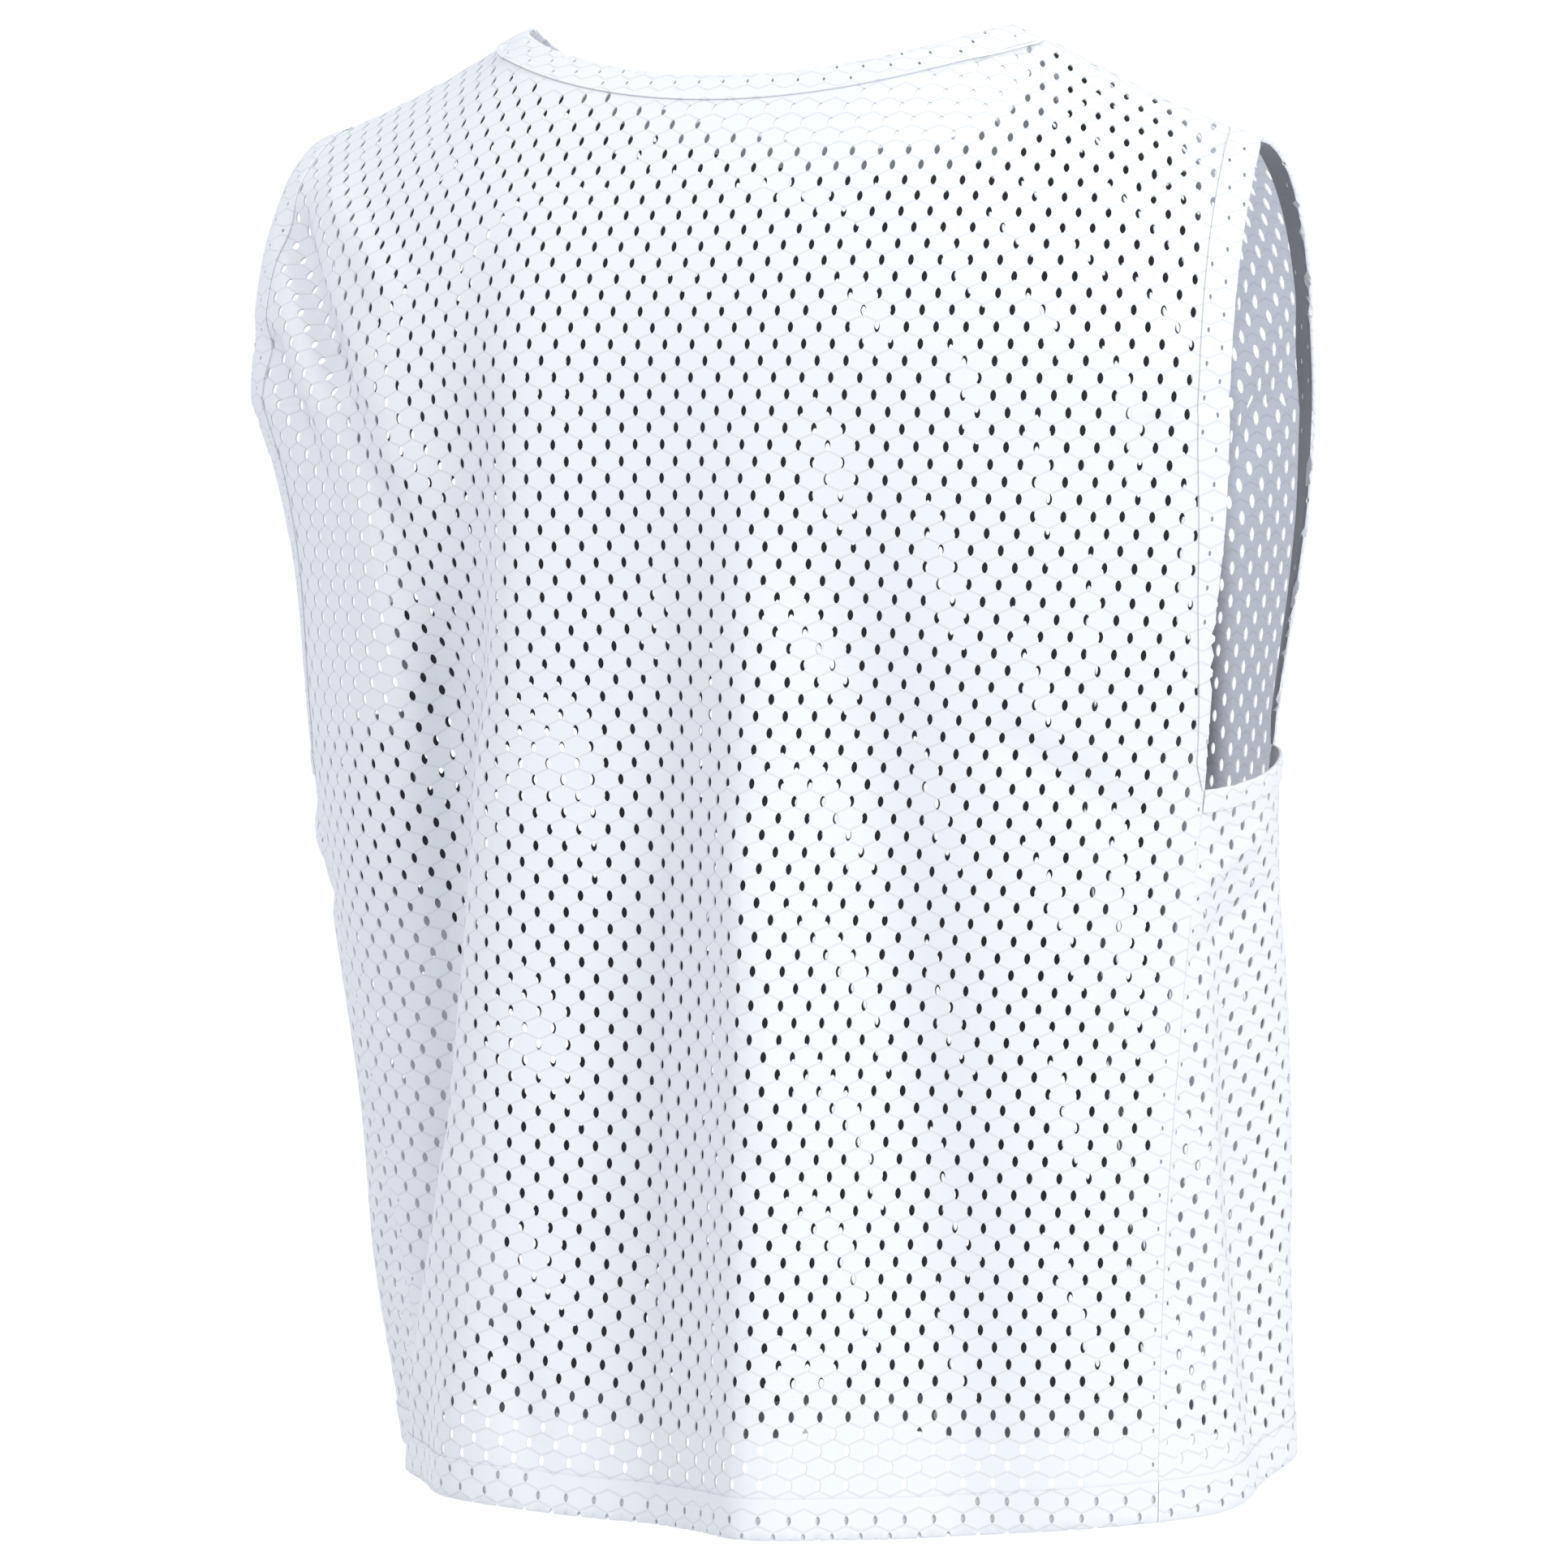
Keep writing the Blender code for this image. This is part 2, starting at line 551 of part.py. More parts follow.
def ring_normals(points):
    """Outward normals of a closed ring of points that runs from the back by the wearer's left."""
    along = np.roll(points, -1, axis=1) - np.roll(points, 1, axis=1)
    up = np.gradient(points, axis=0)
    normals = unit(np.cross(up, along))
    away = points - points.mean(axis=1, keepdims=True)
    away[..., 2] = 0
    if np.mean(np.sum(normals * away, -1)) < 0:
        normals = -normals
    return normals


def solid(name, points, normals, wall, closed=False):
    """A closed wall about a grid of points, as a named object."""
    rows, columns = points.shape[:2]
    outer = (points + normals * wall / 2).reshape(-1, 3)
    inner = (points - normals * wall / 2).reshape(-1, 3)
    count = rows * columns
    along = columns if closed else columns - 1
    faces = []
    for i in range(rows - 1):
        for j in range(along):
            k = (j + 1) % columns
            quad = (i * columns + j, i * columns + k, (i + 1) * columns + k, (i + 1) * columns + j)
            faces.append(quad)
            faces.append(tuple(count + v for v in reversed(quad)))
    edge = []
    for j in range(along):
        k = (j + 1) % columns
        edge.append((k, j))
        edge.append(((rows - 1) * columns + j, (rows - 1) * columns + k))
    if not closed:
        for i in range(rows - 1):
            edge.append((i * columns, (i + 1) * columns))
            edge.append(((i + 1) * columns + columns - 1, i * columns + columns - 1))
    faces += [(a, b, count + b, count + a) for a, b in edge]
    mesh = bpy.data.meshes.new(name)
    mesh.from_pydata([tuple(v) for v in np.vstack([outer, inner])], [], faces)
    body = bmesh.new()
    body.from_mesh(mesh)
    bmesh.ops.triangulate(body, faces=body.faces, quad_method="SHORT_EDGE")
    bmesh.ops.recalc_face_normals(body, faces=body.faces)
    if body.calc_volume(signed=True) < 0:
        bmesh.ops.reverse_faces(body, faces=body.faces)
    body.to_mesh(mesh)
    body.free()
    made = bpy.data.objects.new(name, mesh)
    bpy.context.scene.collection.objects.link(made)
    return made


def build():
    """Make every sewn piece of the bib."""
    for old in list(bpy.data.objects):
        bpy.data.objects.remove(old, do_unlink=True)
    back, front = make_panel("back"), make_panel("front")
    share_shoulder(back, front)
    solid("back_panel", *panel_grid(back, BACK_SHARES), WALL)
    solid("front_panel", *panel_grid(front, FRONT_SHARES), WALL)
    solid("neck_hem", *neck_strip(back, front), HEM_WALL, closed=True)
    solid("bottom_hem", *hem_ring(), HEM_WALL, closed=True)
    for name, piece, side in (("left", "left", 1), ("right", "right", -1)):
        fine = make_side(piece)
        top = CORNER_Z - SIDE_BAND
        solid("side_panel_" + name, *side_grid(fine, HEM_Z + BOTTOM_HEM + SEAM_GAP, top - SEAM_GAP), WALL)
        solid("side_hem_" + name, *side_grid(fine, top, CORNER_Z), HEM_WALL)
        solid("armhole_hem_" + name, *arm_strip(back, front, side), HEM_WALL)


BACK_SHARES = column_list(10, 9)
FRONT_SHARES = column_list(7, 6)

if __name__ == "__main__":
    build()
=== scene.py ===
"""Looks of the training bib: white athletic mesh, built as thin cloth with real holes.

The form is worked out from the same named sizes as the part's solids. Each panel's surface is
unrolled to its flat cut, the holes are set out there in an even net, and the net is put back
on the form. Sizes are in metres. +Z is up, and the wearer faces -Y.
"""
import math

import bpy
import numpy as np
from mathutils.geometry import delaunay_2d_cdt
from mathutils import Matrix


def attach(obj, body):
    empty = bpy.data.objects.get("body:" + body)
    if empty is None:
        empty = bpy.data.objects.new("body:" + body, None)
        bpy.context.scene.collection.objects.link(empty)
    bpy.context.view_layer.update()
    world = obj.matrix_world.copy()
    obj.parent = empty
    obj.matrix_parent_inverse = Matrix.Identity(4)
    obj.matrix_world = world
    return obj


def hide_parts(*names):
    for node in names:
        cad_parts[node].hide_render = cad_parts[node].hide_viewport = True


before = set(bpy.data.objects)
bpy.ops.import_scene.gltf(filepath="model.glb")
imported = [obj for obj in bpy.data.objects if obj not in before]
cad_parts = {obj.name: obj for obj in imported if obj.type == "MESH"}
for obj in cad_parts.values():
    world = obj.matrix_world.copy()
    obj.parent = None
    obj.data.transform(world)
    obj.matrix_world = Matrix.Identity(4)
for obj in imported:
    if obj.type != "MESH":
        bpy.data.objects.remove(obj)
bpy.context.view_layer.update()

# Cloth and seams
WALL = 0.0015
HEM_WALL = 0.0028
SEAM_GAP = 0.0003
BOTTOM_HEM = 0.018
NECK_BAND = 0.014
ARM_BAND = 0.0145
ARM_BAND_LOW = 0.0050
ARM_BAND_END = 0.0010
ARM_BAND_RUN_OUT = 0.012
SIDE_BAND = 0.010

# Heights
HEM_Z = -0.6460
CORNER_Z = -0.3155
YOKE_Z = -0.150

# Body sections: height, half widths on the wearer's left and right, depths of the back and front
SECTION_COLUMNS = ("z", "left", "right", "back", "front")
SECTIONS = (
    (-0.6500, 0.1870, 0.2450, 0.140, 0.145),
    (-0.5580, 0.1990, 0.2385, 0.131, 0.140),
    (-0.4960, 0.2050, 0.2365, 0.126, 0.135),
    (-0.4120, 0.2180, 0.2365, 0.121, 0.130),
    (-0.3155, 0.2365, 0.2420, 0.119, 0.126),
    (-0.2300, 0.2465, 0.2550, 0.122, 0.124),
    (-0.1900, 0.2555, 0.2600, 0.123, 0.124),
    (YOKE_Z, 0.2715, 0.2620, 0.122, 0.124),
)

# Side seams and armhole edges: height, and angle from the middle of the back and of the front
SEAM_COLUMNS = ("z", "back_degrees", "front_degrees")
SEAMS = (
    (HEM_Z, 61.8, 61.0),
    (-0.4800, 65.6, 65.0),
    (CORNER_Z, 69.5, 69.0),
    (-0.2300, 67.0, 69.0),
    (YOKE_Z, 66.5, 69.0),
)

# Shoulder line and neck edge
NECK_POINT = (0.120, 0.010, 0.022)
SHOULDER_TIP = (0.2345, 0.000, -0.0285)
SHOULDER_SAG = 0.0030
NECK_BACK = (0.067, -0.0005)
NECK_FRONT = (-0.099, -0.032)
NECK_BACK_SLOPE = math.radians(45)
NECK_FRONT_SLOPE = math.radians(63)
NECK_BACK_ROUND = 1.8
NECK_FRONT_ROUND = 1.0
NECK_SHARE = 0.53
YOKE_TURN_BACK = math.radians(45)
YOKE_TURN_FRONT = math.radians(30)
SHOULDER_TURN_BACK = math.radians(66)
SHOULDER_TURN_FRONT = math.radians(90)
YOKE_DRAW_BACK = math.radians(55)
YOKE_DRAW_FRONT = math.radians(30)

# How the level lines rise from the back to the front and to the wearer's right
FRONT_RISE = 0.0135
HEM_FRONT_RISE = 0.0165
HEM_FRONT_DROP = 0.0340
HEM_FRONT_LEFT_DROP = 0.0160
HEM_SIDE_RISE = 0.0010
HEM_CORNER_RISE = 0.0045
HEM_LEFT_RISE = 0.0030

# Folds: side they lie on, widths toward and away from the middle, and a path of
# (height, distance from the middle toward the wearer's left, how far the cloth moves out)
FOLDS = (
    ("deep trough", "back", 0.017, 0.048, (
        (-0.130, 0.094, 0.000), (-0.210, 0.101, -0.007), (-0.283, 0.112, -0.015), (-0.412, 0.129, -0.020),
        (-0.496, 0.148, -0.021), (-0.558, 0.168, -0.018), (-0.660, 0.202, -0.010))),
    ("left ridge", "back", 0.040, 0.026, (
        (-0.040, 0.078, 0.000), (-0.090, 0.074, 0.005), (-0.150, 0.072, 0.009), (-0.280, 0.074, 0.012),
        (-0.450, 0.085, 0.014), (-0.600, 0.100, 0.015), (-0.660, 0.105, 0.013))),
    ("centre ridge", "back", 0.023, 0.036, (
        (-0.130, -0.046, 0.000), (-0.200, -0.046, 0.006), (-0.280, -0.046, 0.014), (-0.450, -0.048, 0.024),
        (-0.560, -0.052, 0.027), (-0.660, -0.056, 0.029))),
    ("centre trough", "back", 0.019, 0.044, (
        (-0.180, 0.004, 0.000), (-0.260, 0.006, -0.005), (-0.330, 0.010, -0.009), (-0.450, 0.014, -0.012),
        (-0.560, 0.012, -0.013), (-0.660, 0.006, -0.011))),
    ("right trough", "back", 0.028, 0.034, (
        (-0.160, -0.070, 0.000), (-0.260, -0.084, -0.007), (-0.430, -0.110, -0.011), (-0.660, -0.150, -0.008))),
    ("blade ridge", "back", 0.030, 0.030, (
        (-0.090, 0.160, 0.000), (-0.190, 0.152, 0.006), (-0.330, 0.172, 0.005), (-0.430, 0.196, 0.000))),
    ("armhole drag, long", "back", 0.011, 0.013, (
        (-0.050, 0.236, 0.000), (-0.085, 0.216, -0.005), (-0.140, 0.180, -0.006), (-0.215, 0.148, 0.000))),
    ("armhole drag, short", "back", 0.009, 0.011, (
        (-0.110, 0.244, 0.000), (-0.130, 0.232, -0.005), (-0.165, 0.212, -0.004), (-0.200, 0.196, 0.000))),
    ("right armhole drag", "back", 0.014, 0.012, (
        (-0.130, -0.236, 0.000), (-0.185, -0.214, -0.004), (-0.290, -0.176, 0.000))),
    ("right side trough", "back", 0.016, 0.018, (
        (-0.300, -0.262, 0.000), (-0.380, -0.268, -0.008), (-0.500, -0.282, -0.012), (-0.660, -0.306, -0.004))),
    ("right side ridge", "back", 0.018, 0.020, (
        (-0.330, -0.310, 0.000), (-0.420, -0.316, 0.006), (-0.550, -0.330, 0.008), (-0.660, -0.340, 0.004))),
    ("left side ridge", "back", 0.022, 0.022, (
        (-0.330, 0.262, 0.000), (-0.430, 0.258, 0.007), (-0.560, 0.250, 0.010), (-0.660, 0.246, 0.009))),
    ("left side trough", "front", 0.020, 0.022, (
        (-0.330, 0.272, 0.000), (-0.450, 0.266, -0.009), (-0.560, 0.258, -0.012), (-0.660, 0.250, -0.010))),
    ("front trough, left", "front", 0.030, 0.020, (
        (-0.170, 0.104, 0.000), (-0.290, 0.116, -0.014), (-0.430, 0.132, -0.022), (-0.660, 0.158, -0.018))),
    ("front ridge", "front", 0.032, 0.030, (
        (-0.230, 0.036, 0.000), (-0.360, 0.040, 0.009), (-0.500, 0.046, 0.015), (-0.660, 0.048, 0.017))),
    ("front trough, middle", "front", 0.026, 0.028, (
        (-0.250, -0.034, 0.000), (-0.400, -0.038, -0.008), (-0.660, -0.046, -0.010))),
    ("front trough, right", "front", 0.024, 0.032, (
        (-0.160, -0.112, 0.000), (-0.280, -0.124, -0.010), (-0.450, -0.146, -0.018), (-0.660, -0.176, -0.014))),
    ("front armhole drag, left", "front", 0.012, 0.012, (
        (-0.110, 0.240, 0.000), (-0.160, 0.214, -0.005), (-0.250, 0.172, 0.000))),
    ("front armhole drag, right", "front", 0.012, 0.012, (
        (-0.100, -0.240, 0.000), (-0.170, -0.206, -0.005), (-0.260, -0.166, 0.000))),
)

# Fine sampling of the surface that all the pieces are read from
FINE_COLUMNS = 121
FINE_BODY_ROWS = 100
FINE_YOKE_ROWS = 60
RING_POINTS = 1441


def smooth(at, places, values):
    """Read a short table with rising places by a monotone cubic."""
    places = np.asarray(places, float)
    values = np.asarray(values, float)
    step = np.diff(places)
    slope = np.diff(values) / step
    lean = np.zeros(len(values))
    for i in range(1, len(values) - 1):
        if slope[i - 1] * slope[i] > 0:
            before = 2 * step[i] + step[i - 1]
            after = step[i] + 2 * step[i - 1]
            lean[i] = (before + after) / (before / slope[i - 1] + after / slope[i])
    lean[0] = slope[0]
    lean[-1] = slope[-1]
    at = np.clip(np.asarray(at, float), places[0], places[-1])
    i = np.clip(np.searchsorted(places, at) - 1, 0, len(step) - 1)
    f = (at - places[i]) / step[i]
    return ((2 * f**3 - 3 * f**2 + 1) * values[i] + (f**3 - 2 * f**2 + f) * step[i] * lean[i]
            + (3 * f**2 - 2 * f**3) * values[i + 1] + (f**3 - f**2) * step[i] * lean[i + 1])


def ease(value):
    """0 below 0, 1 above 1, and a smooth step between."""
    value = np.clip(value, 0.0, 1.0)
    return value * value * (3 - 2 * value)


def section_sizes(z):
    """Left and right half widths, and back and front depths, at a height."""
    heights = [row[0] for row in SECTIONS]
    return [smooth(z, heights, [row[k] for row in SECTIONS]) for k in range(1, 5)]


def ring(z):
    """The closed section at a height: distance along it from the centre back, and its points."""
    left, right, back, front = section_sizes(z)
    angle = np.linspace(-math.pi, math.pi, RING_POINTS)
    x = np.where(angle >= 0, left, right) * np.sin(angle)
    y = np.where(np.cos(angle) >= 0, back, front) * np.cos(angle)
    step = np.hypot(np.diff(x), np.diff(y))
    along = np.concatenate([[0.0], np.cumsum(step)])
    along = along - along[RING_POINTS // 2]
    return angle, along, x, y


def seam_angle(z, side):
    """Angle of the side seam or armhole edge from the middle of the back or front."""
    column = 1 if side == "back" else 2
    return math.radians(float(smooth(z, [row[0] for row in SEAMS], [row[column] for row in SEAMS])))


def level(z, x, y):
    """Height of a point of the row that is at z on the centre back."""
    left, right, back, front = section_sizes(z)
    to_front = ease(0.5 - y / 0.09)
    body = ease((YOKE_Z - z) / (YOKE_Z - CORNER_Z))
    low = np.clip((CORNER_Z - z) / (CORNER_Z - HEM_Z), 0.0, 1.05)
    depth = np.where(y >= 0, back, front)
    front_way = (0.5 - 0.5 * y / depth) ** 2
    side_way = -x / np.where(x >= 0, left, right)
    corner_way = ease((-x - 0.10) / 0.12)
    rise = HEM_FRONT_RISE * front_way + HEM_SIDE_RISE * side_way + HEM_CORNER_RISE * corner_way
    rise = rise + HEM_LEFT_RISE * ease((x - 0.02) / 0.10) * ease(y / 0.06)
    rise = rise - HEM_FRONT_LEFT_DROP * ease((x - 0.01) / 0.07) * ease((-y - 0.02) / 0.05)
    rise = rise - HEM_FRONT_DROP * np.clip(0.5 - 0.5 * y / depth, 0.0, 1.0) ** 6
    return z + FRONT_RISE * to_front * body + low * rise


def fold_height(side, across, z):
    """How far the folds of one side move the cloth out, at distances from its middle."""
    total = np.zeros(np.broadcast(across, z).shape)
    for name, lies_on, toward, away, path in FOLDS:
        if lies_on != side:
            continue
        path = sorted(path)
        heights = [p[0] for p in path]
        centre = smooth(z, heights, [p[1] for p in path])
        move = smooth(z, heights, [p[2] for p in path])
        off = across - centre
        outward = off * np.sign(centre) > 0
        width = np.where(outward, away, toward)
        total = total + move * np.exp(-(off / width) ** 2)
    return total


def top_edge(share, side):
    """Where the columns of the back or front end: round the neck band, then along the shoulder."""
    size = np.abs(share)
    turn = np.clip(size / NECK_SHARE, 0, 1) * math.pi / 2
    slope = (SHOULDER_TIP[2] - NECK_POINT[2]) / (SHOULDER_TIP[0] - NECK_POINT[0])
    start = (NECK_POINT[0] + NECK_BAND, NECK_POINT[1], NECK_POINT[2] + slope * NECK_BAND)
    y_mid, z_mid = band_middle(side)
    x = start[0] * np.sin(turn)
    y = start[1] + (y_mid - start[1]) * np.cos(turn)
    curve = NECK_BACK_ROUND if side == "back" else NECK_FRONT_ROUND
    z = start[2] + (z_mid - start[2]) * np.cos(turn) ** curve
    run = np.clip((size - NECK_SHARE) / (1 - NECK_SHARE), 0, 1)
    x = x + (SHOULDER_TIP[0] - start[0]) * run
    y = y + (SHOULDER_TIP[1] - start[1]) * run
    z = z + (SHOULDER_TIP[2] - start[2]) * run - SHOULDER_SAG * np.sin(math.pi * run)
    return np.stack([np.sign(share) * x, y, z], -1)


def band_middle(side):
    """Middle of the neck band's lower edge on the back or front."""
    if side == "back":
        return (NECK_BACK[0] + NECK_BAND * math.cos(NECK_BACK_SLOPE),
                NECK_BACK[1] - NECK_BAND * math.sin(NECK_BACK_SLOPE))
    return (NECK_FRONT[0] - NECK_BAND * math.cos(NECK_FRONT_SLOPE),
            NECK_FRONT[1] - NECK_BAND * math.sin(NECK_FRONT_SLOPE))


def unit(vectors):
    return vectors / np.maximum(np.linalg.norm(vectors, axis=-1, keepdims=True), 1e-12)


def grid_normals(points, outward):
    """Normals of a grid of points, turned to the side that outward gives."""
    down = np.gradient(points, axis=0)
    across = np.gradient(points, axis=1)
    normals = unit(np.cross(across, down))
    if np.mean(np.sum(normals * outward, -1)) < 0:
        normals = -normals
    return normals


def row_ends(z):
    """Distances along the section of the right front, right back, left back and left front edges."""
    angle, length, xs, ys = ring(z)
    rear = seam_angle(z, "back")
    fore = math.pi - seam_angle(z, "front")
    ends = np.interp([-fore, -rear, rear, fore], angle, length)
    return length[0], ends, length[-1]


def station(z, piece, share):
    """Distance along the section of a place on a piece: shares run toward the wearer's left or front."""
    start, ends, stop = row_ends(z)
    share = np.asarray(share, float)
    if piece == "back":
        return np.where(share >= 0, share * ends[2], -share * ends[1])
    if piece == "front":
        return np.where(share >= 0, stop - share * (stop - ends[3]), start - share * (ends[0] - start))
    if piece == "left":
        return ends[2] + share * (ends[3] - ends[2])
    return ends[1] + share * (ends[0] - ends[1])


def body_row(z, piece, shares):
    """Points and fold heights of one level row, with a column more beyond each end."""
    along = station(z, piece, shares)
    first = along[0] - np.sign(along[1] - along[0]) * 0.003
    last = along[-1] + np.sign(along[-1] - along[-2]) * 0.003
    along = np.concatenate([[first], along, [last]])
    angle, length, xs, ys = ring(z)
    x = np.interp(along, length, xs)
    y = np.interp(along, length, ys)
    half = np.where(along >= 0, length[-1], -length[0])
    from_front = np.sign(along) * half - along
    heights = np.full_like(x, z)
    folds = np.zeros_like(x)
    if piece != "front" or z <= CORNER_Z:
        folds = folds + fold_height("back", along, heights)
    if piece != "back" or z <= CORNER_Z:
        folds = folds + fold_height("front", from_front, heights)
    return np.stack([x, y, level(z, x, y)], -1), folds


def yoke_rows(side, shares, start):
    """Rows from the level of the chest up to the shoulders and the neck band."""
    end = top_edge(shares, side)
    neck = np.clip(np.abs(shares) / NECK_SHARE, 0, 1)
    turn_mid = YOKE_TURN_BACK if side == "back" else YOKE_TURN_FRONT
    turn_end = SHOULDER_TURN_BACK if side == "back" else SHOULDER_TURN_FRONT
    turn = turn_mid + (turn_end - turn_mid) * ease(neck)
    draw_mid = YOKE_DRAW_BACK if side == "back" else YOKE_DRAW_FRONT
    draw = draw_mid + (math.pi / 2 - draw_mid) * ease(neck)
    rows = []
    folds = []
    for f in np.linspace(0, 1, FINE_YOKE_ROWS + 1)[1:]:
        closing = (np.cos(turn * f) - np.cos(turn)) / (1 - np.cos(turn))
        rising = np.sin(turn * f) / np.sin(turn)
        level_turn = np.sqrt(np.maximum(1 - (rising * np.sin(draw)) ** 2, 0.0))
        drawn = np.clip((level_turn - np.cos(draw)) / (1 - np.cos(draw)), 0.0, 1.0)
        drawn = 1 - (1 - drawn) ** 1.6
        x = end[:, 0] + (start[:, 0] - end[:, 0]) * drawn
        y = end[:, 1] + (start[:, 1] - end[:, 1]) * closing
        z = start[:, 2] + (end[:, 2] - start[:, 2]) * rising
        points = np.stack([x, y, z], -1)
        before = 2 * points[0] - points[1]
        after = 2 * points[-1] - points[-2]
        rows.append(np.vstack([before, points, after]))
        height = fold_height(side, x, z) * ease((1 - f) / 0.35)
        folds.append(np.concatenate([height[:1], height, height[-1:]]))
    return rows, folds


def settle(points, folds, outward):
    """Move the grid out by its folds, and give it with its normals, without the extra columns."""
    flat = grid_normals(points, outward)
    moved = points + flat * folds[..., None]
    return moved[:, 1:-1], grid_normals(moved, outward)[:, 1:-1]


def body_heights():
    return np.linspace(HEM_Z, YOKE_Z, FINE_BODY_ROWS)


def make_panel(side):
    """The whole back or front as a fine grid, from the hem's edge up to the shoulders and neck band."""
    shares = np.linspace(-1, 1, FINE_COLUMNS)
    pairs = [body_row(z, side, shares) for z in body_heights()]
    rows, folds = yoke_rows(side, shares, pairs[-1][0][1:-1])
    points = np.array([pair[0] for pair in pairs] + rows)
    heights = np.array([pair[1] for pair in pairs] + folds)
    facing = 1.0 if side == "back" else -1.0
    return settle(points, heights, np.array([0.0, facing, 0.3]))


def make_side(piece):
    """A side panel as a fine grid, from the hem's edge up to the armhole."""
    shares = np.linspace(0, 1, 41)
    levels = np.linspace(HEM_Z, CORNER_Z, 81)
    pairs = [body_row(z, piece, shares) for z in levels]
    facing = 1.0 if piece == "left" else -1.0
    return settle(np.array([pair[0] for pair in pairs]), np.array([pair[1] for pair in pairs]),
                  np.array([facing, 0.0, 0.0]))


def share_shoulder(back, front):
    """Give the back and front the same points and normals along the shoulders."""
    shares = np.abs(np.linspace(-1, 1, FINE_COLUMNS)) >= NECK_SHARE - 1e-9
    both = unit(back[1][-1] + front[1][-1])
    back[1][-1][shares] = both[shares]
    front[1][-1][shares] = both[shares]


def read(grid, row, column):
    """Values of a fine grid at fractional rows and columns, both from 0 to 1."""
    high, wide = grid.shape[0] - 1, grid.shape[1] - 1
    row = np.clip(np.asarray(row, float), 0, 1) * high
    column = np.clip(np.asarray(column, float), 0, 1) * wide
    i = np.minimum(row.astype(int), high - 1)
    j = np.minimum(column.astype(int), wide - 1)
    a = (row - i)[..., None]
    b = (column - j)[..., None]
    return ((1 - a) * (1 - b) * grid[i, j] + (1 - a) * b * grid[i, j + 1]
            + a * (1 - b) * grid[i + 1, j] + a * b * grid[i + 1, j + 1])


def panel_row(z):
    """Row, from 0 to 1, of a height below the chest in a panel's fine grid."""
    body = (z - HEM_Z) / (YOKE_Z - HEM_Z) * (FINE_BODY_ROWS - 1)
    return body / (FINE_BODY_ROWS - 1 + FINE_YOKE_ROWS)


def share_at(grid, row, side, distance):
    """Share of a row at a distance in from its edge on the wearer's left (+1) or right (-1)."""
    shares = np.linspace(1, 0.4, 61)
    points = read(grid, np.full(61, row), 0.5 + 0.5 * side * shares)
    along = np.concatenate([[0.0], np.cumsum(np.linalg.norm(np.diff(points, axis=0), axis=1))])
    return float(np.interp(distance, along, shares))


def arm_band(row):
    """Width of the armhole band at a row: it runs out at the underarm."""
    corner = panel_row(CORNER_Z)
    low = panel_row(CORNER_Z + ARM_BAND_RUN_OUT)
    chest = panel_row(YOKE_Z)
    if row <= low:
        return ARM_BAND_END + (ARM_BAND_LOW - ARM_BAND_END) * (row - corner) / (low - corner)
    return ARM_BAND_LOW + (ARM_BAND - ARM_BAND_LOW) * float(ease((row - low) / (chest - low)))


def inset_columns(grid, row, shares, width):
    """Columns, from 0 to 1, of a row's shares when its ends are drawn in by a width."""
    ends = np.where(shares < 0, share_at(grid, row, -1, width), share_at(grid, row, 1, width))
    size = np.abs(shares)
    outer = NECK_SHARE + (size - NECK_SHARE) / (1 - NECK_SHARE) * (ends - NECK_SHARE)
    return 0.5 + 0.5 * np.sign(shares) * np.where(size > NECK_SHARE, outer, size)


def neck_edge(turn):
    """Points of the neck's open edge, by the turn round the neck from the centre back."""
    middle = np.where(np.cos(turn) >= 0, NECK_BACK[0], NECK_FRONT[0])
    drop = np.where(np.cos(turn) >= 0, NECK_BACK[1], NECK_FRONT[1])
    part = np.abs(np.cos(turn))
    curve = np.where(np.cos(turn) >= 0, NECK_BACK_ROUND, NECK_FRONT_ROUND)
    return np.stack([NECK_POINT[0] * np.sin(turn), NECK_POINT[1] + (middle - NECK_POINT[1]) * part,
                     NECK_POINT[2] + (drop - NECK_POINT[2]) * part ** curve], -1)


# Cloth of the look
CLOTH = 0.0007
FOLD_RADIUS = 0.0008
HEM_LIP = 0.00085

# Net of holes: pitch across and up, the rows between are set half a pitch over
PITCH_ACROSS = 0.0132
PITCH_UP = 0.0151
HOLE_WIDE = 0.0027
HOLE_HIGH = 0.0050
HOLE_SIDES = 12
EDGE_STEP = 0.0045
HOLE_MARGIN = 0.0004


def unroll(points, middle):
    """Flat places of a grid of points: its rows and columns are laid out flat by their lengths on the form."""
    across = np.linalg.norm(np.diff(points, axis=1), axis=-1)
    up = np.linalg.norm(np.diff(points, axis=0), axis=-1)
    u = np.concatenate([np.zeros((len(points), 1)), np.cumsum(across, axis=1)], axis=1)
    u = u - u[:, middle:middle + 1]
    v = np.concatenate([np.zeros((1, points.shape[1])), np.cumsum(up, axis=0)], axis=0)
    return np.stack([u, v], -1)


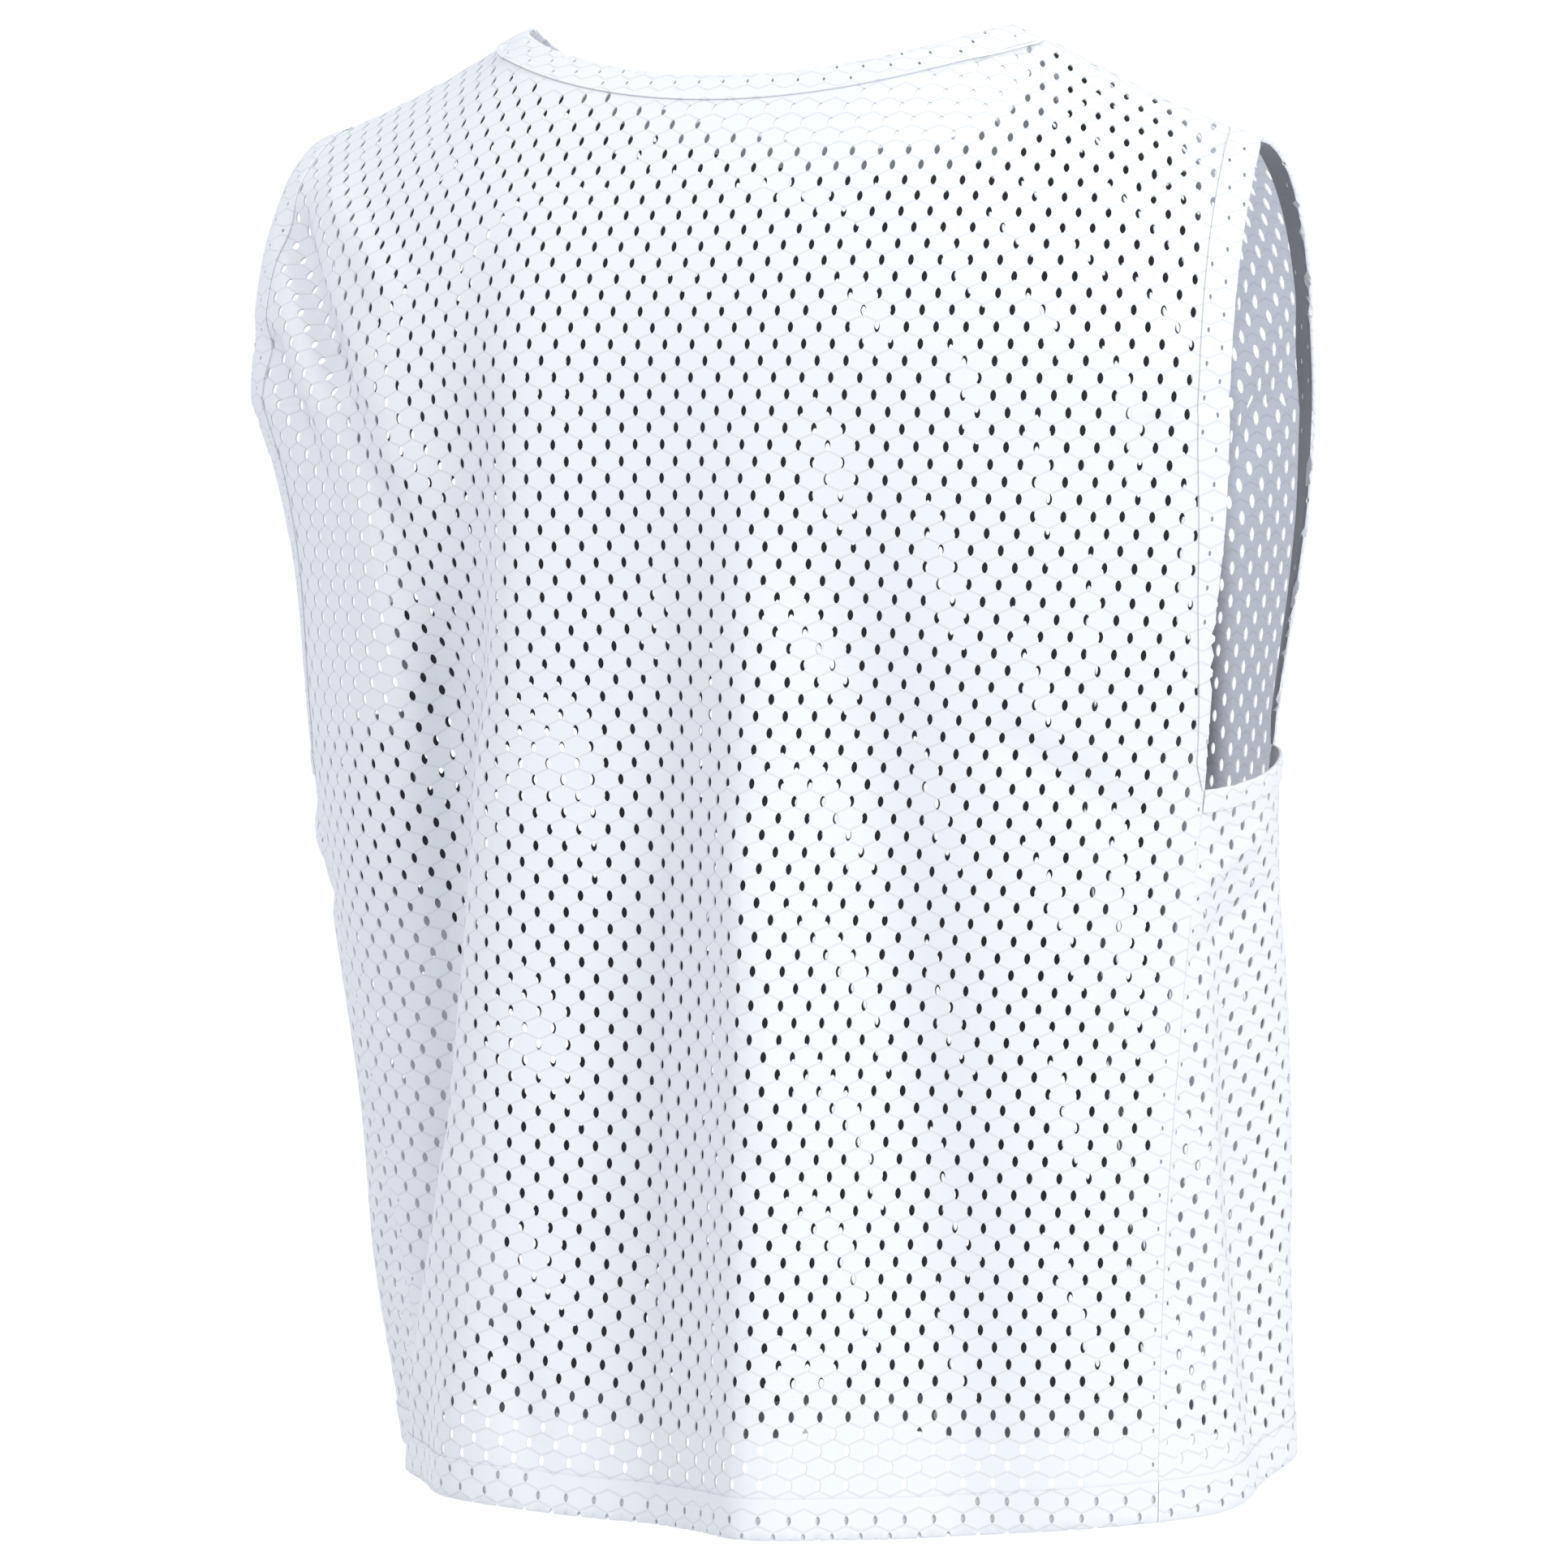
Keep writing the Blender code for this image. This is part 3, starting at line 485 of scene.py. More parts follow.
def relax(flat, points, rounds):
    """Draw the flat grid's sides and diagonals to their lengths on the form."""
    slices = []
    for di, dj in ((0, 1), (1, 0), (1, 1), (1, -1)):
        high, wide = flat.shape[0] - di, flat.shape[1] - abs(dj)
        i0, j0 = 0, max(0, -dj)
        a = (slice(i0, i0 + high), slice(j0, j0 + wide))
        b = (slice(i0 + di, i0 + di + high), slice(j0 + dj, j0 + dj + wide))
        slices.append((a, b, np.linalg.norm(points[b] - points[a], axis=-1)))
    for turn in range(rounds):
        pull = np.zeros_like(flat)
        count = np.zeros(flat.shape[:2])
        for a, b, length in slices:
            gap = flat[b] - flat[a]
            now = np.maximum(np.linalg.norm(gap, axis=-1), 1e-9)
            move = gap * ((now - length) / now * 0.5)[..., None]
            pull[a] += move
            pull[b] -= move
            count[a] += 1
            count[b] += 1
        flat = flat + 1.2 * pull / np.maximum(count, 1)[..., None]
    return flat


class Chart:
    """A fine grid of a surface with the flat place of each of its points."""

    def __init__(self, points, normals, flat):
        self.points = points
        self.normals = normals
        self.flat = flat
        self.rows = np.linspace(0, 1, points.shape[0])
        self.by_row = np.gradient(flat, axis=0) * (points.shape[0] - 1)
        self.by_column = np.gradient(flat, axis=1) * (points.shape[1] - 1)

    def find(self, places, tries=14):
        """Rows and columns, from 0 to 1, of flat places."""
        coarse = self.flat[::6, ::6]
        index = np.stack(np.meshgrid(np.linspace(0, 1, self.flat.shape[0])[::6],
                                     np.linspace(0, 1, self.flat.shape[1])[::6], indexing="ij"), -1)
        near = np.empty((len(places), 2))
        for first in range(0, len(places), 2000):
            part = places[first:first + 2000]
            away = ((part[:, None, None, :] - coarse[None]) ** 2).sum(-1).reshape(len(part), -1)
            near[first:first + 2000] = index.reshape(-1, 2)[away.argmin(1)]
        row, column = near[:, 0], near[:, 1]
        for attempt in range(tries):
            gap = places - read(self.flat, row, column)
            r = read(self.by_row, row, column)
            c = read(self.by_column, row, column)
            area = r[:, 0] * c[:, 1] - r[:, 1] * c[:, 0]
            area = np.where(np.abs(area) < 1e-9, 1e-9, area)
            row = np.clip(row + np.clip((gap[:, 0] * c[:, 1] - gap[:, 1] * c[:, 0]) / area, -0.05, 0.05), 0, 1)
            column = np.clip(column + np.clip((r[:, 0] * gap[:, 1] - r[:, 1] * gap[:, 0]) / area, -0.05, 0.05), 0, 1)
        return row, column

    def place(self, places):
        """Points and normals of flat places."""
        row, column = self.find(places)
        return read(self.points, row, column), unit(read(self.normals, row, column))


def creased(fine, creases, axes):
    """A grid with small creases laid on it, fading before the seams and hems."""
    points, normals = fine
    places = points[..., axes]
    lift = np.zeros(points.shape[:2])
    for start, end, wide, high in creases:
        start, run = np.array(start), np.array(end) - np.array(start)
        share = ((places - start) @ run) / (run @ run)
        off = np.linalg.norm(places - start - np.clip(share, 0, 1)[..., None] * run, axis=-1)
        ends = ease(share / 0.3 + 0.5) * ease((1 - share) / 0.3 + 0.5)
        lift += high * np.exp(-(off / wide) ** 2) * ends
    rows = np.linspace(0, 1, points.shape[0])[:, None]
    columns = np.linspace(0, 1, points.shape[1])[None]
    lift = lift * ease(rows / 0.05) * ease((1 - rows) / 0.05) * ease(columns / 0.05) * ease((1 - columns) / 0.05)
    moved = points + normals * lift[..., None]
    bend = unit(np.cross(np.gradient(moved, axis=1), np.gradient(moved, axis=0)))
    plain = unit(np.cross(np.gradient(points, axis=1), np.gradient(points, axis=0)))
    turn = np.sign(np.sum(plain * normals, -1))[..., None]
    return moved, unit(normals + (bend - plain) * turn)


def panel_chart(fine, middle):
    points, normals = fine
    flat = unroll(points, middle)
    coarse_rows = np.unique(np.linspace(0, points.shape[0] - 1, 81).astype(int))
    coarse_columns = np.unique(np.linspace(0, points.shape[1] - 1, 61).astype(int))
    pick = np.ix_(coarse_rows, coarse_columns)
    relaxed = relax(flat[pick], points[pick], 600)
    shape = (points.shape[0], points.shape[1])
    full = np.empty(shape + (2,))
    for k in range(2):
        by_rows = np.array([np.interp(np.arange(shape[0]), coarse_rows, relaxed[:, j, k])
                            for j in range(len(coarse_columns))]).T
        full[..., k] = np.array([np.interp(np.arange(shape[1]), coarse_columns, line) for line in by_rows])
    return Chart(points, normals, full)


def inside(places, outline):
    """Which flat places lie in a closed outline."""
    x, y = places[:, 0][:, None], places[:, 1][:, None]
    a = outline
    b = np.roll(outline, -1, axis=0)
    crosses = (a[:, 1] > y) != (b[:, 1] > y)
    rise = np.where(np.abs(b[:, 1] - a[:, 1]) < 1e-12, 1e-12, b[:, 1] - a[:, 1])
    at = a[:, 0] + (y - a[:, 1]) * (b[:, 0] - a[:, 0]) / rise
    return (crosses & (x < at)).sum(1) % 2 == 1


def densify(outline, step):
    """The outline with points no further apart than a step."""
    out = []
    for a, b in zip(outline, np.roll(outline, -1, axis=0)):
        count = max(1, int(math.ceil(np.linalg.norm(b - a) / step)))
        out.extend(a + (b - a) * k / count for k in range(count))
    return np.array(out)


def hole_loop():
    """A hole about its own middle: a lens with its tips up and down."""
    turn = 2 * math.pi * np.arange(HOLE_SIDES) / HOLE_SIDES
    x = HOLE_WIDE / 2 * np.sign(np.cos(turn)) * np.abs(np.cos(turn)) ** 1.15
    return np.stack([x, HOLE_HIGH / 2 * np.sin(turn)], -1)


def net(low, high, phase):
    """Middles of the holes between two flat corners."""
    columns = np.arange(math.floor((low[0] - phase[0]) / PITCH_ACROSS) - 1,
                        math.ceil((high[0] - phase[0]) / PITCH_ACROSS) + 2)
    rows = np.arange(math.floor((low[1] - phase[1]) / PITCH_UP) - 1,
                     math.ceil((high[1] - phase[1]) / PITCH_UP) + 2)
    across, up = np.meshgrid(columns, rows)
    whole = np.stack([across.ravel() * PITCH_ACROSS, up.ravel() * PITCH_UP], -1)
    between = whole + np.array([PITCH_ACROSS / 2, PITCH_UP / 2])
    return np.vstack([whole, between]) + np.array(phase)


def holes_in(outline, middles, step, scale):
    """Hole loops that lie wholly in the outline, and the net's points between them."""
    loops = middles[:, None, :] + hole_loop()[None] * scale
    grown = middles[:, None, :] + hole_loop()[None] * (1 + 2 * HOLE_MARGIN / HOLE_WIDE)
    kept = inside(grown.reshape(-1, 2), outline).reshape(len(middles), -1).all(1)
    fill = middles + np.array([PITCH_ACROSS / 2, 0.0])
    around = fill[:, None, :] + np.array([[step, 0], [-step, 0], [0, step], [0, -step]])[None]
    fill_kept = inside(around.reshape(-1, 2), outline).reshape(len(fill), -1).all(1)
    return loops[kept], fill[fill_kept]


def triangulate(outline, loops, fill):
    """Flat points and triangles of the outline with the loops left out."""
    points = [tuple(p) for p in outline]
    edges = [(k, (k + 1) % len(outline)) for k in range(len(outline))]
    owner = [-1] * len(outline)
    for number, loop in enumerate(loops):
        first = len(points)
        points.extend(tuple(p) for p in loop)
        edges.extend((first + k, first + (k + 1) % len(loop)) for k in range(len(loop)))
        owner.extend([number] * len(loop))
    points.extend(tuple(p) for p in fill)
    owner.extend([-1] * len(fill))
    flat, made_edges, faces, from_points = delaunay_2d_cdt(points, edges, [], 1, 1e-8)[:4]
    whose = np.array([owner[source[0]] if source else -1 for source in from_points])
    flat = np.array([tuple(p) for p in flat])
    faces = np.array([tuple(face) for face in faces])
    in_hole = (whose[faces[:, 0]] >= 0) & (whose[faces[:, 0]] == whose[faces[:, 1]])
    in_hole &= whose[faces[:, 0]] == whose[faces[:, 2]]
    return flat, faces[~in_hole]


def cloth(name, flat, faces, points, normals, painted_lights, turned=None, thick=CLOTH):
    """A closed thin shell about the placed points: outer and inner cloth, and the walls of the holes.

    turned says which points lie on a layer that is turned in.
    """
    count = len(points)
    a, b, c = (points[faces[:, k]] for k in range(3))
    facing = np.sum(np.cross(b - a, c - a) * normals[faces[:, 0]], -1)
    if np.median(facing) < 0:
        faces = faces[:, ::-1]
    sides = np.vstack([faces[:, [0, 1]], faces[:, [1, 2]], faces[:, [2, 0]]])
    key = np.minimum(sides[:, 0], sides[:, 1]) * count + np.maximum(sides[:, 0], sides[:, 1])
    value, first, uses = np.unique(key, return_index=True, return_counts=True)
    rim = sides[first[uses == 1]]
    walls = np.stack([rim[:, 1], rim[:, 0], rim[:, 0] + count, rim[:, 1] + count], -1)
    places = np.vstack([points + normals * thick / 2, points - normals * thick / 2])
    corners = np.concatenate([faces.ravel(), (faces[:, ::-1] + count).ravel(), walls.ravel()])
    starts = np.concatenate([np.arange(2 * len(faces)) * 3, 6 * len(faces) + np.arange(len(walls)) * 4])
    mesh = bpy.data.meshes.new(name)
    mesh.vertices.add(len(places))
    mesh.vertices.foreach_set("co", places.ravel().astype(np.float32))
    mesh.loops.add(len(corners))
    mesh.loops.foreach_set("vertex_index", corners.astype(np.int32))
    mesh.polygons.add(len(starts))
    mesh.polygons.foreach_set("loop_start", starts.astype(np.int32))
    for look in LOOKS:
        mesh.materials.append(look)
    # The side facing into the garment takes the inside material with its painted shade and painted glow; on a hem the
    # faces between the two layers and the walls of its holes take the material with a painted glow
    outer = np.zeros(len(faces)) if turned is None else turned[faces].all(1)
    inner = np.ones(len(faces)) if turned is None else np.full(len(faces), 2)
    edge = 0 if turned is None else 2
    material = np.concatenate([outer, inner, np.full(len(walls), edge)])
    mesh.polygons.foreach_set("material_index", material.astype(np.int32))
    mesh.update(calc_edges=True)
    mesh.validate()
    uv = mesh.uv_layers.new(name="fabric")
    both = np.vstack([flat, flat])
    uv.data.foreach_set("uv", both[corners].ravel().astype(np.float32))
    # Each point's painted light of the inside: 0 gives it painted shade, 1 leaves it light
    painted_light = mesh.attributes.new("painted_light", "FLOAT", "POINT")
    values = np.concatenate([painted_lights, painted_lights])
    painted_light.data.foreach_set("value", values.astype(np.float32))
    mesh.polygons.foreach_set("use_smooth", np.ones(len(mesh.polygons), dtype=bool))
    mesh.set_sharp_from_angle(angle=math.radians(48))
    made = bpy.data.objects.new(name, mesh)
    bpy.context.scene.collection.objects.link(made)
    return made


def edge_path(chart, rows, side, width_at):
    """Flat places along a panel's side edge, drawn in by a width that may change with the row."""
    columns = [float(inset_columns(chart.points, row, np.array([float(side)]), width_at(row))[0]) for row in rows]
    return read(chart.flat, rows, np.array(columns))


def panel_outline(chart, low_z):
    """Flat outline of a back or front panel inside its hems, with a little to go under them."""
    corner = panel_row(CORNER_Z)

    def width_at(row):
        return EDGE_GAP if row < corner else max(arm_band(row) - UNDER_HEM, EDGE_GAP)

    low = panel_row(low_z)
    rows = np.concatenate([np.linspace(low, corner - 1e-6, 70), np.linspace(corner, TOP_ROW, 80)])
    right = edge_path(chart, rows, -1, width_at)
    left = edge_path(chart, rows, 1, width_at)
    ends = [float(inset_columns(chart.points, low, np.array([side]), EDGE_GAP)[0]) for side in (-1.0, 1.0)]
    columns = np.linspace(ends[0], ends[1], 120)[1:-1]
    bottom = read(chart.flat, np.full_like(columns, low), columns)
    tops = [float(inset_columns(chart.points, TOP_ROW, np.array([side]), width_at(TOP_ROW))[0]) for side in (1.0, -1.0)]
    columns = np.linspace(tops[0], tops[1], 140)[1:-1]
    top = read(chart.flat, np.full_like(columns, TOP_ROW), columns)
    return np.vstack([bottom, left, top, right[::-1]])


def seam_strip(name, chart, low_z, side, phase, painted_light_of):
    """The panel's own cloth turned in along a side seam, which backs the holes there."""
    rows = np.linspace(panel_row(low_z), panel_row(CORNER_Z) - 0.004, 70)
    near = edge_path(chart, rows, side, lambda row: EDGE_GAP)
    far = edge_path(chart, rows, side, lambda row: ALLOWANCE)
    under = Chart(chart.points - chart.normals * STRIP_DEPTH, chart.normals, chart.flat)
    between = (phase[0] + PITCH_ACROSS / 2, phase[1])
    return net_cloth(name, under, np.vstack([near, far[::-1]]), between, painted_light_of)


def side_outline(chart, low_z, high_z):
    """Flat outline of a side panel between two heights."""
    def row_of(z):
        return (z - HEM_Z) / (CORNER_Z - HEM_Z)

    inset = 0.0004
    low, high = row_of(low_z), row_of(high_z)
    across = np.linspace(inset, 1 - inset, 40)
    rows = np.linspace(low, high, 70)
    bottom = read(chart.flat, np.full_like(across, low), across)
    top = read(chart.flat, np.full_like(across, high), across[::-1])
    far = read(chart.flat, rows, np.full_like(rows, 1 - inset))[1:-1]
    near = read(chart.flat, rows, np.full_like(rows, inset))[1:-1]
    return np.vstack([bottom, far, top, near[::-1]])


def net_cloth(name, chart, outline, phase, painted_light_of, hem=False, scale=1.0, seams=None):
    """A piece of mesh cloth: its outline with the net of holes cut out, laid on the form."""
    outline = densify(outline, EDGE_STEP)
    middles = net(outline.min(0), outline.max(0), phase)
    if seams is not None:
        away = np.linalg.norm(middles[:, None, :] - seams[None], axis=-1).min(1)
        row, column = chart.find(middles)
        scale = np.where(away < ALLOWANCE, SEAM_HOLES, stretched(read(chart.points, row, column)))[:, None, None]
    loops, fill = holes_in(outline, middles, 0.0012, scale)
    if hem:
        loops = loops[backed(chart, loops.mean(1))]
        fill = np.vstack([fill, fold_points(chart, loops)])
    flat, faces = triangulate(outline, loops, fill)
    row, column = chart.find(flat)
    points, normals = read(chart.points, row, column), unit(read(chart.normals, row, column))
    turned = column > TURNED_FROM if hem else None
    # Each point's painted light of the inside, which darkens the inside with painted shade
    made = cloth(name, flat, faces, points, normals, painted_light_of(points), turned)
    made["holes"] = len(loops)
    return made, flat_area(outline)


def stretched(points):
    """How much larger the holes are: those of the front that the right armhole shows are drawn open."""
    return 1 + ARMHOLE_STRETCH * by_armhole(points) * ((points[:, 0] < 0) & (points[:, 1] < -0.02))


def backed(chart, middles):
    """Which holes of a hem to keep: those of the turned layer stay where they meet no outer hole."""
    row, column = chart.find(middles)
    places = read(chart.points, row, column)
    turned = column > TURNED_FROM
    keep = np.ones(len(middles), dtype=bool)
    outer = places[~turned]
    for k in np.flatnonzero(turned):
        keep[k] = np.linalg.norm(outer - places[k], axis=1).min() > HOLE_HIGH * 0.95
    return keep


def fold_points(chart, loops):
    """Flat places along a hem's fold and its layers, clear of the holes, so that the fold stays round."""
    along = np.linalg.norm(np.diff(chart.flat[:, 19], axis=0), axis=1).sum()
    stations = np.linspace(0, 1, max(3, int(along / FOLD_STEP)))[1:-1]
    places = []
    for column in (5, 10, 14, 17, 19, 21, 24, 28, 33):
        places.append(read(chart.flat, stations, np.full_like(stations, column / 38.0)))
    places = np.vstack(places)
    if len(loops) == 0:
        return places
    keep = np.ones(len(places), dtype=bool)
    middles = loops.mean(1)
    for k, place in enumerate(places):
        away = np.abs(middles - place)
        keep[k] = not np.any((away[:, 0] < HOLE_WIDE / 2 + 0.0004) & (away[:, 1] < HOLE_HIGH / 2 + 0.0004))
    return places[keep]


def flat_area(outline):
    x, y = outline[:, 0], outline[:, 1]
    return abs(float(np.sum(x * np.roll(y, -1) - y * np.roll(x, -1)))) / 2


UNDER_HEM = 0.0012
EDGE_GAP = 0.00004
SEAM_HOLES = 0.45
ARMHOLE_STRETCH = 0.38
TOP_ROW = 0.9998
NECK_LAP = 0.0010
TURNED_FROM = 0.60
FOLD_STEP = 0.0032
BACK_PHASE = (0.0, 0.0)
FRONT_PHASE = (0.0, 0.004)
SIDE_PHASE = (0.003, 0.002)
ALLOWANCE = 0.0065
STRIP_DEPTH = 0.0011

# Lines between the holes, and the knit, in the cloth's own sizes
LINE_START = 0.153
LINE_SLOPE = 0.388
LINE_WIDE = 0.0011
TICK_PITCH = 0.00052
KNIT_ACROSS = 0.00062
KNIT_UP = 0.00085

# Colours; the two inside colours are painted shade
CLOTH_COLOUR = (0.635, 0.66, 0.70)
LINE_COLOUR = (0.40, 0.42, 0.45)
# Painted shade of the cloth's inside: its colour is multiplied by a mix from a near black to a pale grey by each
# point's painted light, so that the holes look dark
PAINTED_SHADE_INSIDE = (0.032, 0.033, 0.038)
LIGHT_INSIDE = (0.84, 0.85, 0.90)
# Painted glow: the inside material emits its own colour by this strength, standing in for light through the thin cloth
THROUGH_LIGHT = 0.44
# Painted glow: the faces between a hem's two layers emit the cloth colour by this strength
BETWEEN_LIGHT = 0.10

# Holes of the hems, drawn in by the turning and the sewing
HEM_HOLES = {"neck_hem": 0.50, "armhole_hem_left": 0.50, "armhole_hem_right": 0.50, "side_hem_left": 0.50,
             "side_hem_right": 0.50, "bottom_hem": 0.80}

# Small creases in metres: from, to, half width and height; a trough is below nought.
# On the back and front a place is x and z, on a side panel it is y and z.
BACK_CREASES = (
    ((0.232, -0.066), (0.182, -0.140), 0.0085, -0.0085), ((0.212, -0.050), (0.150, -0.098), 0.0110, 0.0030),
    ((0.233, -0.120), (0.206, -0.165), 0.0065, -0.0035), ((-0.196, -0.052), (-0.221, -0.024), 0.0060, -0.0035),
    ((0.150, -0.185), (0.128, -0.300), 0.0120, -0.0030), ((-0.205, -0.330), (-0.150, -0.290), 0.0100, -0.0025),
    ((0.096, -0.290), (0.110, -0.500), 0.0100, 0.0040), ((0.110, -0.490), (0.140, -0.615), 0.0100, 0.0050),
    ((0.124, -0.250), (0.136, -0.500), 0.0120, -0.0080), ((0.138, -0.490), (0.162, -0.615), 0.0110, -0.0060),
    ((-0.040, -0.330), (-0.062, -0.470), 0.0130, 0.0030), ((0.075, -0.560), (0.060, -0.640), 0.0100, -0.0030))
FRONT_CREASES = (
    ((0.215, -0.080), (0.160, -0.150), 0.0100, -0.0050), ((-0.212, -0.095), (-0.168, -0.170), 0.0110, -0.0045),
    ((-0.120, -0.210), (-0.105, -0.330), 0.0130, 0.0030), ((0.205, -0.320), (0.150, -0.270), 0.0100, -0.0030),
    ((0.030, -0.360), (0.050, -0.520), 0.0140, -0.0035))
SIDE_CREASES = (
    ((0.062, -0.372), (0.005, -0.338), 0.0060, 0.0030), ((0.058, -0.396), (-0.012, -0.362), 0.0065, -0.0025),
    ((0.050, -0.430), (0.046, -0.560), 0.0080, -0.0030), ((-0.040, -0.380), (-0.030, -0.520), 0.0100, 0.0025))


def folded(surface, flats, widths):
    """A chart of a turned hem.

    surface gives points and normals of each station at distances from the hem's edge, and flats
    gives the flat places there. The cloth runs down the outside, turns at the edge and comes back
    up the inside.
    """
    quarter = math.pi / 2 * FOLD_RADIUS
    count = len(widths)
    shares = np.concatenate([np.linspace(-1, -0.06, 14), np.linspace(-0.05, 0.05, 11), np.linspace(0.06, 1, 14)])
    points, normals, flat = [], [], []
    for k in range(count):
        run = shares * (widths[k] + quarter - FOLD_RADIUS)
        size = np.abs(run)
        turn = np.clip(run / FOLD_RADIUS, -math.pi / 2, math.pi / 2)
        distance = FOLD_RADIUS * (1 - np.cos(turn)) + np.maximum(size - quarter, 0)
        offset = -FOLD_RADIUS * np.sin(turn)
        top = ease((shares + 1) / 0.10)
        offset = np.where(run < -quarter, HEM_LIP + (offset - HEM_LIP) * top, offset)
        place, normal, inward = surface(k, distance)
        points.append(place + normal * offset[:, None])
        side = np.cos(turn)
        bent = normal * (-np.sin(turn))[:, None] - inward * side[:, None]
        normals.append(unit(bent))
        flat.append(flats(k, -run))
    return Chart(np.array(points), np.array(normals), np.array(flat))


def chart_outline(chart):
    """The flat outline of a whole chart."""
    flat = chart.flat
    return np.vstack([flat[:, 0], flat[-1, 1:], flat[-2::-1, -1], flat[0, -2:0:-1]])


def hem_from(chart, stations, width_of, along_rows, side=1):
    """A folded chart along an edge of a panel: the bottom, an armhole or the top of a side panel.

    along_rows says that the stations are rows and the edge is a side of the panel. Otherwise they
    are columns, and the edge is the bottom (side 1) or the top (side -1).
    """
    widths = np.array([width_of(station) for station in stations])
    lines = []
    for station, width in zip(stations, widths):
        if along_rows:
            columns = 0.5 + 0.5 * side * np.linspace(1, 0.80, 41)
            rows = np.full(41, station)
        else:
            columns = np.full(41, station)
            rows = np.linspace(0, 0.12, 41) if side > 0 else np.linspace(1, 0.86, 41)
        points = read(chart.points, rows, columns)
        length = np.concatenate([[0.0], np.cumsum(np.linalg.norm(np.diff(points, axis=0), axis=1))])
        lines.append((rows, columns, length))

    def at(k, distance):
        rows, columns, length = lines[k]
        size = np.abs(distance)
        return np.interp(size, length, rows), np.interp(size, length, columns)

    def surface(k, distance):
        row, column = at(k, distance)
        place, normal = read(chart.points, row, column), unit(read(chart.normals, row, column))
        near = read(chart.points, *at(k, np.array([0.0])))
        far = read(chart.points, *at(k, np.array([0.004])))
        return place, normal, np.broadcast_to(unit(far - near), place.shape)

    def flats(k, inward):
        row, column = at(k, inward)
        place = read(chart.flat, row, column)
        edge = read(chart.flat, *at(k, np.array([0.0])))
        return np.where((inward >= 0)[:, None], place, 2 * edge - place)

    return folded(surface, flats, widths)


def neck_hem(chart, side):
    """The folded chart of the neck's band on the back or front."""
    shares = np.linspace(-NECK_SHARE, NECK_SHARE, 121)
    columns = 0.5 + 0.5 * shares
    ones = np.ones_like(shares)
    outer = read(chart.points, ones, columns)
    outer_normals = unit(read(chart.normals, ones, columns))
    flat = read(chart.flat, ones, columns)
    turn = shares / NECK_SHARE * math.pi / 2
    inner = neck_edge(turn if side == "back" else math.pi - turn)
    across = outer - inner
    width = np.linalg.norm(across, axis=1)
    forward = np.gradient(inner, axis=0)
    own = unit(np.cross(forward, across))
    own = own * np.sign(np.median(np.sum(own * outer_normals, -1)))
    flat_forward = unit(np.gradient(flat, axis=0))
    into_neck = np.stack([-flat_forward[:, 1], flat_forward[:, 0]], -1)

    def surface(k, distance):
        share = (np.abs(distance) / width[k])[:, None]
        place = inner[k] + across[k] * share
        normal = unit(own[k] + (outer_normals[k] - own[k]) * share)
        return place, normal, np.broadcast_to(unit(across[k]), place.shape)

    def flats(k, inward):
        return flat[k] + into_neck[k] * (width[k] - inward)[:, None]

    return folded(surface, flats, width + NECK_LAP)


def join(name, parts):
    """One object from several, with their attributes kept."""
    for part in bpy.context.selected_objects:
        part.select_set(False)
    for part in parts:
        part.select_set(True)
    bpy.context.view_layer.objects.active = parts[0]
    bpy.ops.object.join()
    parts[0].name = name
    parts[0].data.name = name
    return parts[0]


def strip_size(chart):
    """Length of a hem's strip along its fold and its full width, turned part and all."""
    middle = chart.flat[:, chart.flat.shape[1] // 2]
    long = np.linalg.norm(np.diff(middle, axis=0), axis=1).sum()
    across = np.linalg.norm(np.diff(chart.flat, axis=1), axis=-1).sum(1).max()
    return long, across


def make_hems(back_chart, front_chart, left_chart, right_chart):
    """Every turned hem, each joined from the parts that lie on different panels."""
    made = []
    inset = 0.0006
    bottom = []
    for chart, phase in ((back_chart, BACK_PHASE), (left_chart, SIDE_PHASE), (front_chart, FRONT_PHASE),
                         (right_chart, SIDE_PHASE)):
        stations = np.linspace(inset, 1 - inset, 161)
        bottom.append((hem_from(chart, stations, lambda station: BOTTOM_HEM, False, 1), phase))
    made.append(("bottom_hem_cloth", "bottom_hem", bottom))
    neck = [(neck_hem(back_chart, "back"), BACK_PHASE), (neck_hem(front_chart, "front"), FRONT_PHASE)]
    made.append(("neck_hem_cloth", "neck_hem", neck))
    for word, side, side_chart in (("left", 1, left_chart), ("right", -1, right_chart)):
        rows = np.linspace(panel_row(CORNER_Z) + 0.0006, 0.9996, 141)
        arm = [(hem_from(back_chart, rows, arm_band, True, side), BACK_PHASE),
               (hem_from(front_chart, rows, arm_band, True, side), FRONT_PHASE)]
        made.append(("armhole_hem_cloth_" + word, "armhole_hem_" + word, arm))
        stations = np.linspace(0.003, 0.997, 61)
        top = [(hem_from(side_chart, stations, lambda station: SIDE_BAND, False, -1), SIDE_PHASE)]
        made.append(("side_hem_cloth_" + word, "side_hem_" + word, top))
    return made


# Camera, as the photo was taken: from behind, a little to the wearer's right
CAMERA_TURN = math.radians(25.0)
CAMERA_RISE = math.radians(5.2)
CAMERA_AWAY = 3.3
CAMERA_AIM = (-0.0018, -0.0008, -0.3245)
LENS = 164.4
FLOOR_Z = -0.86


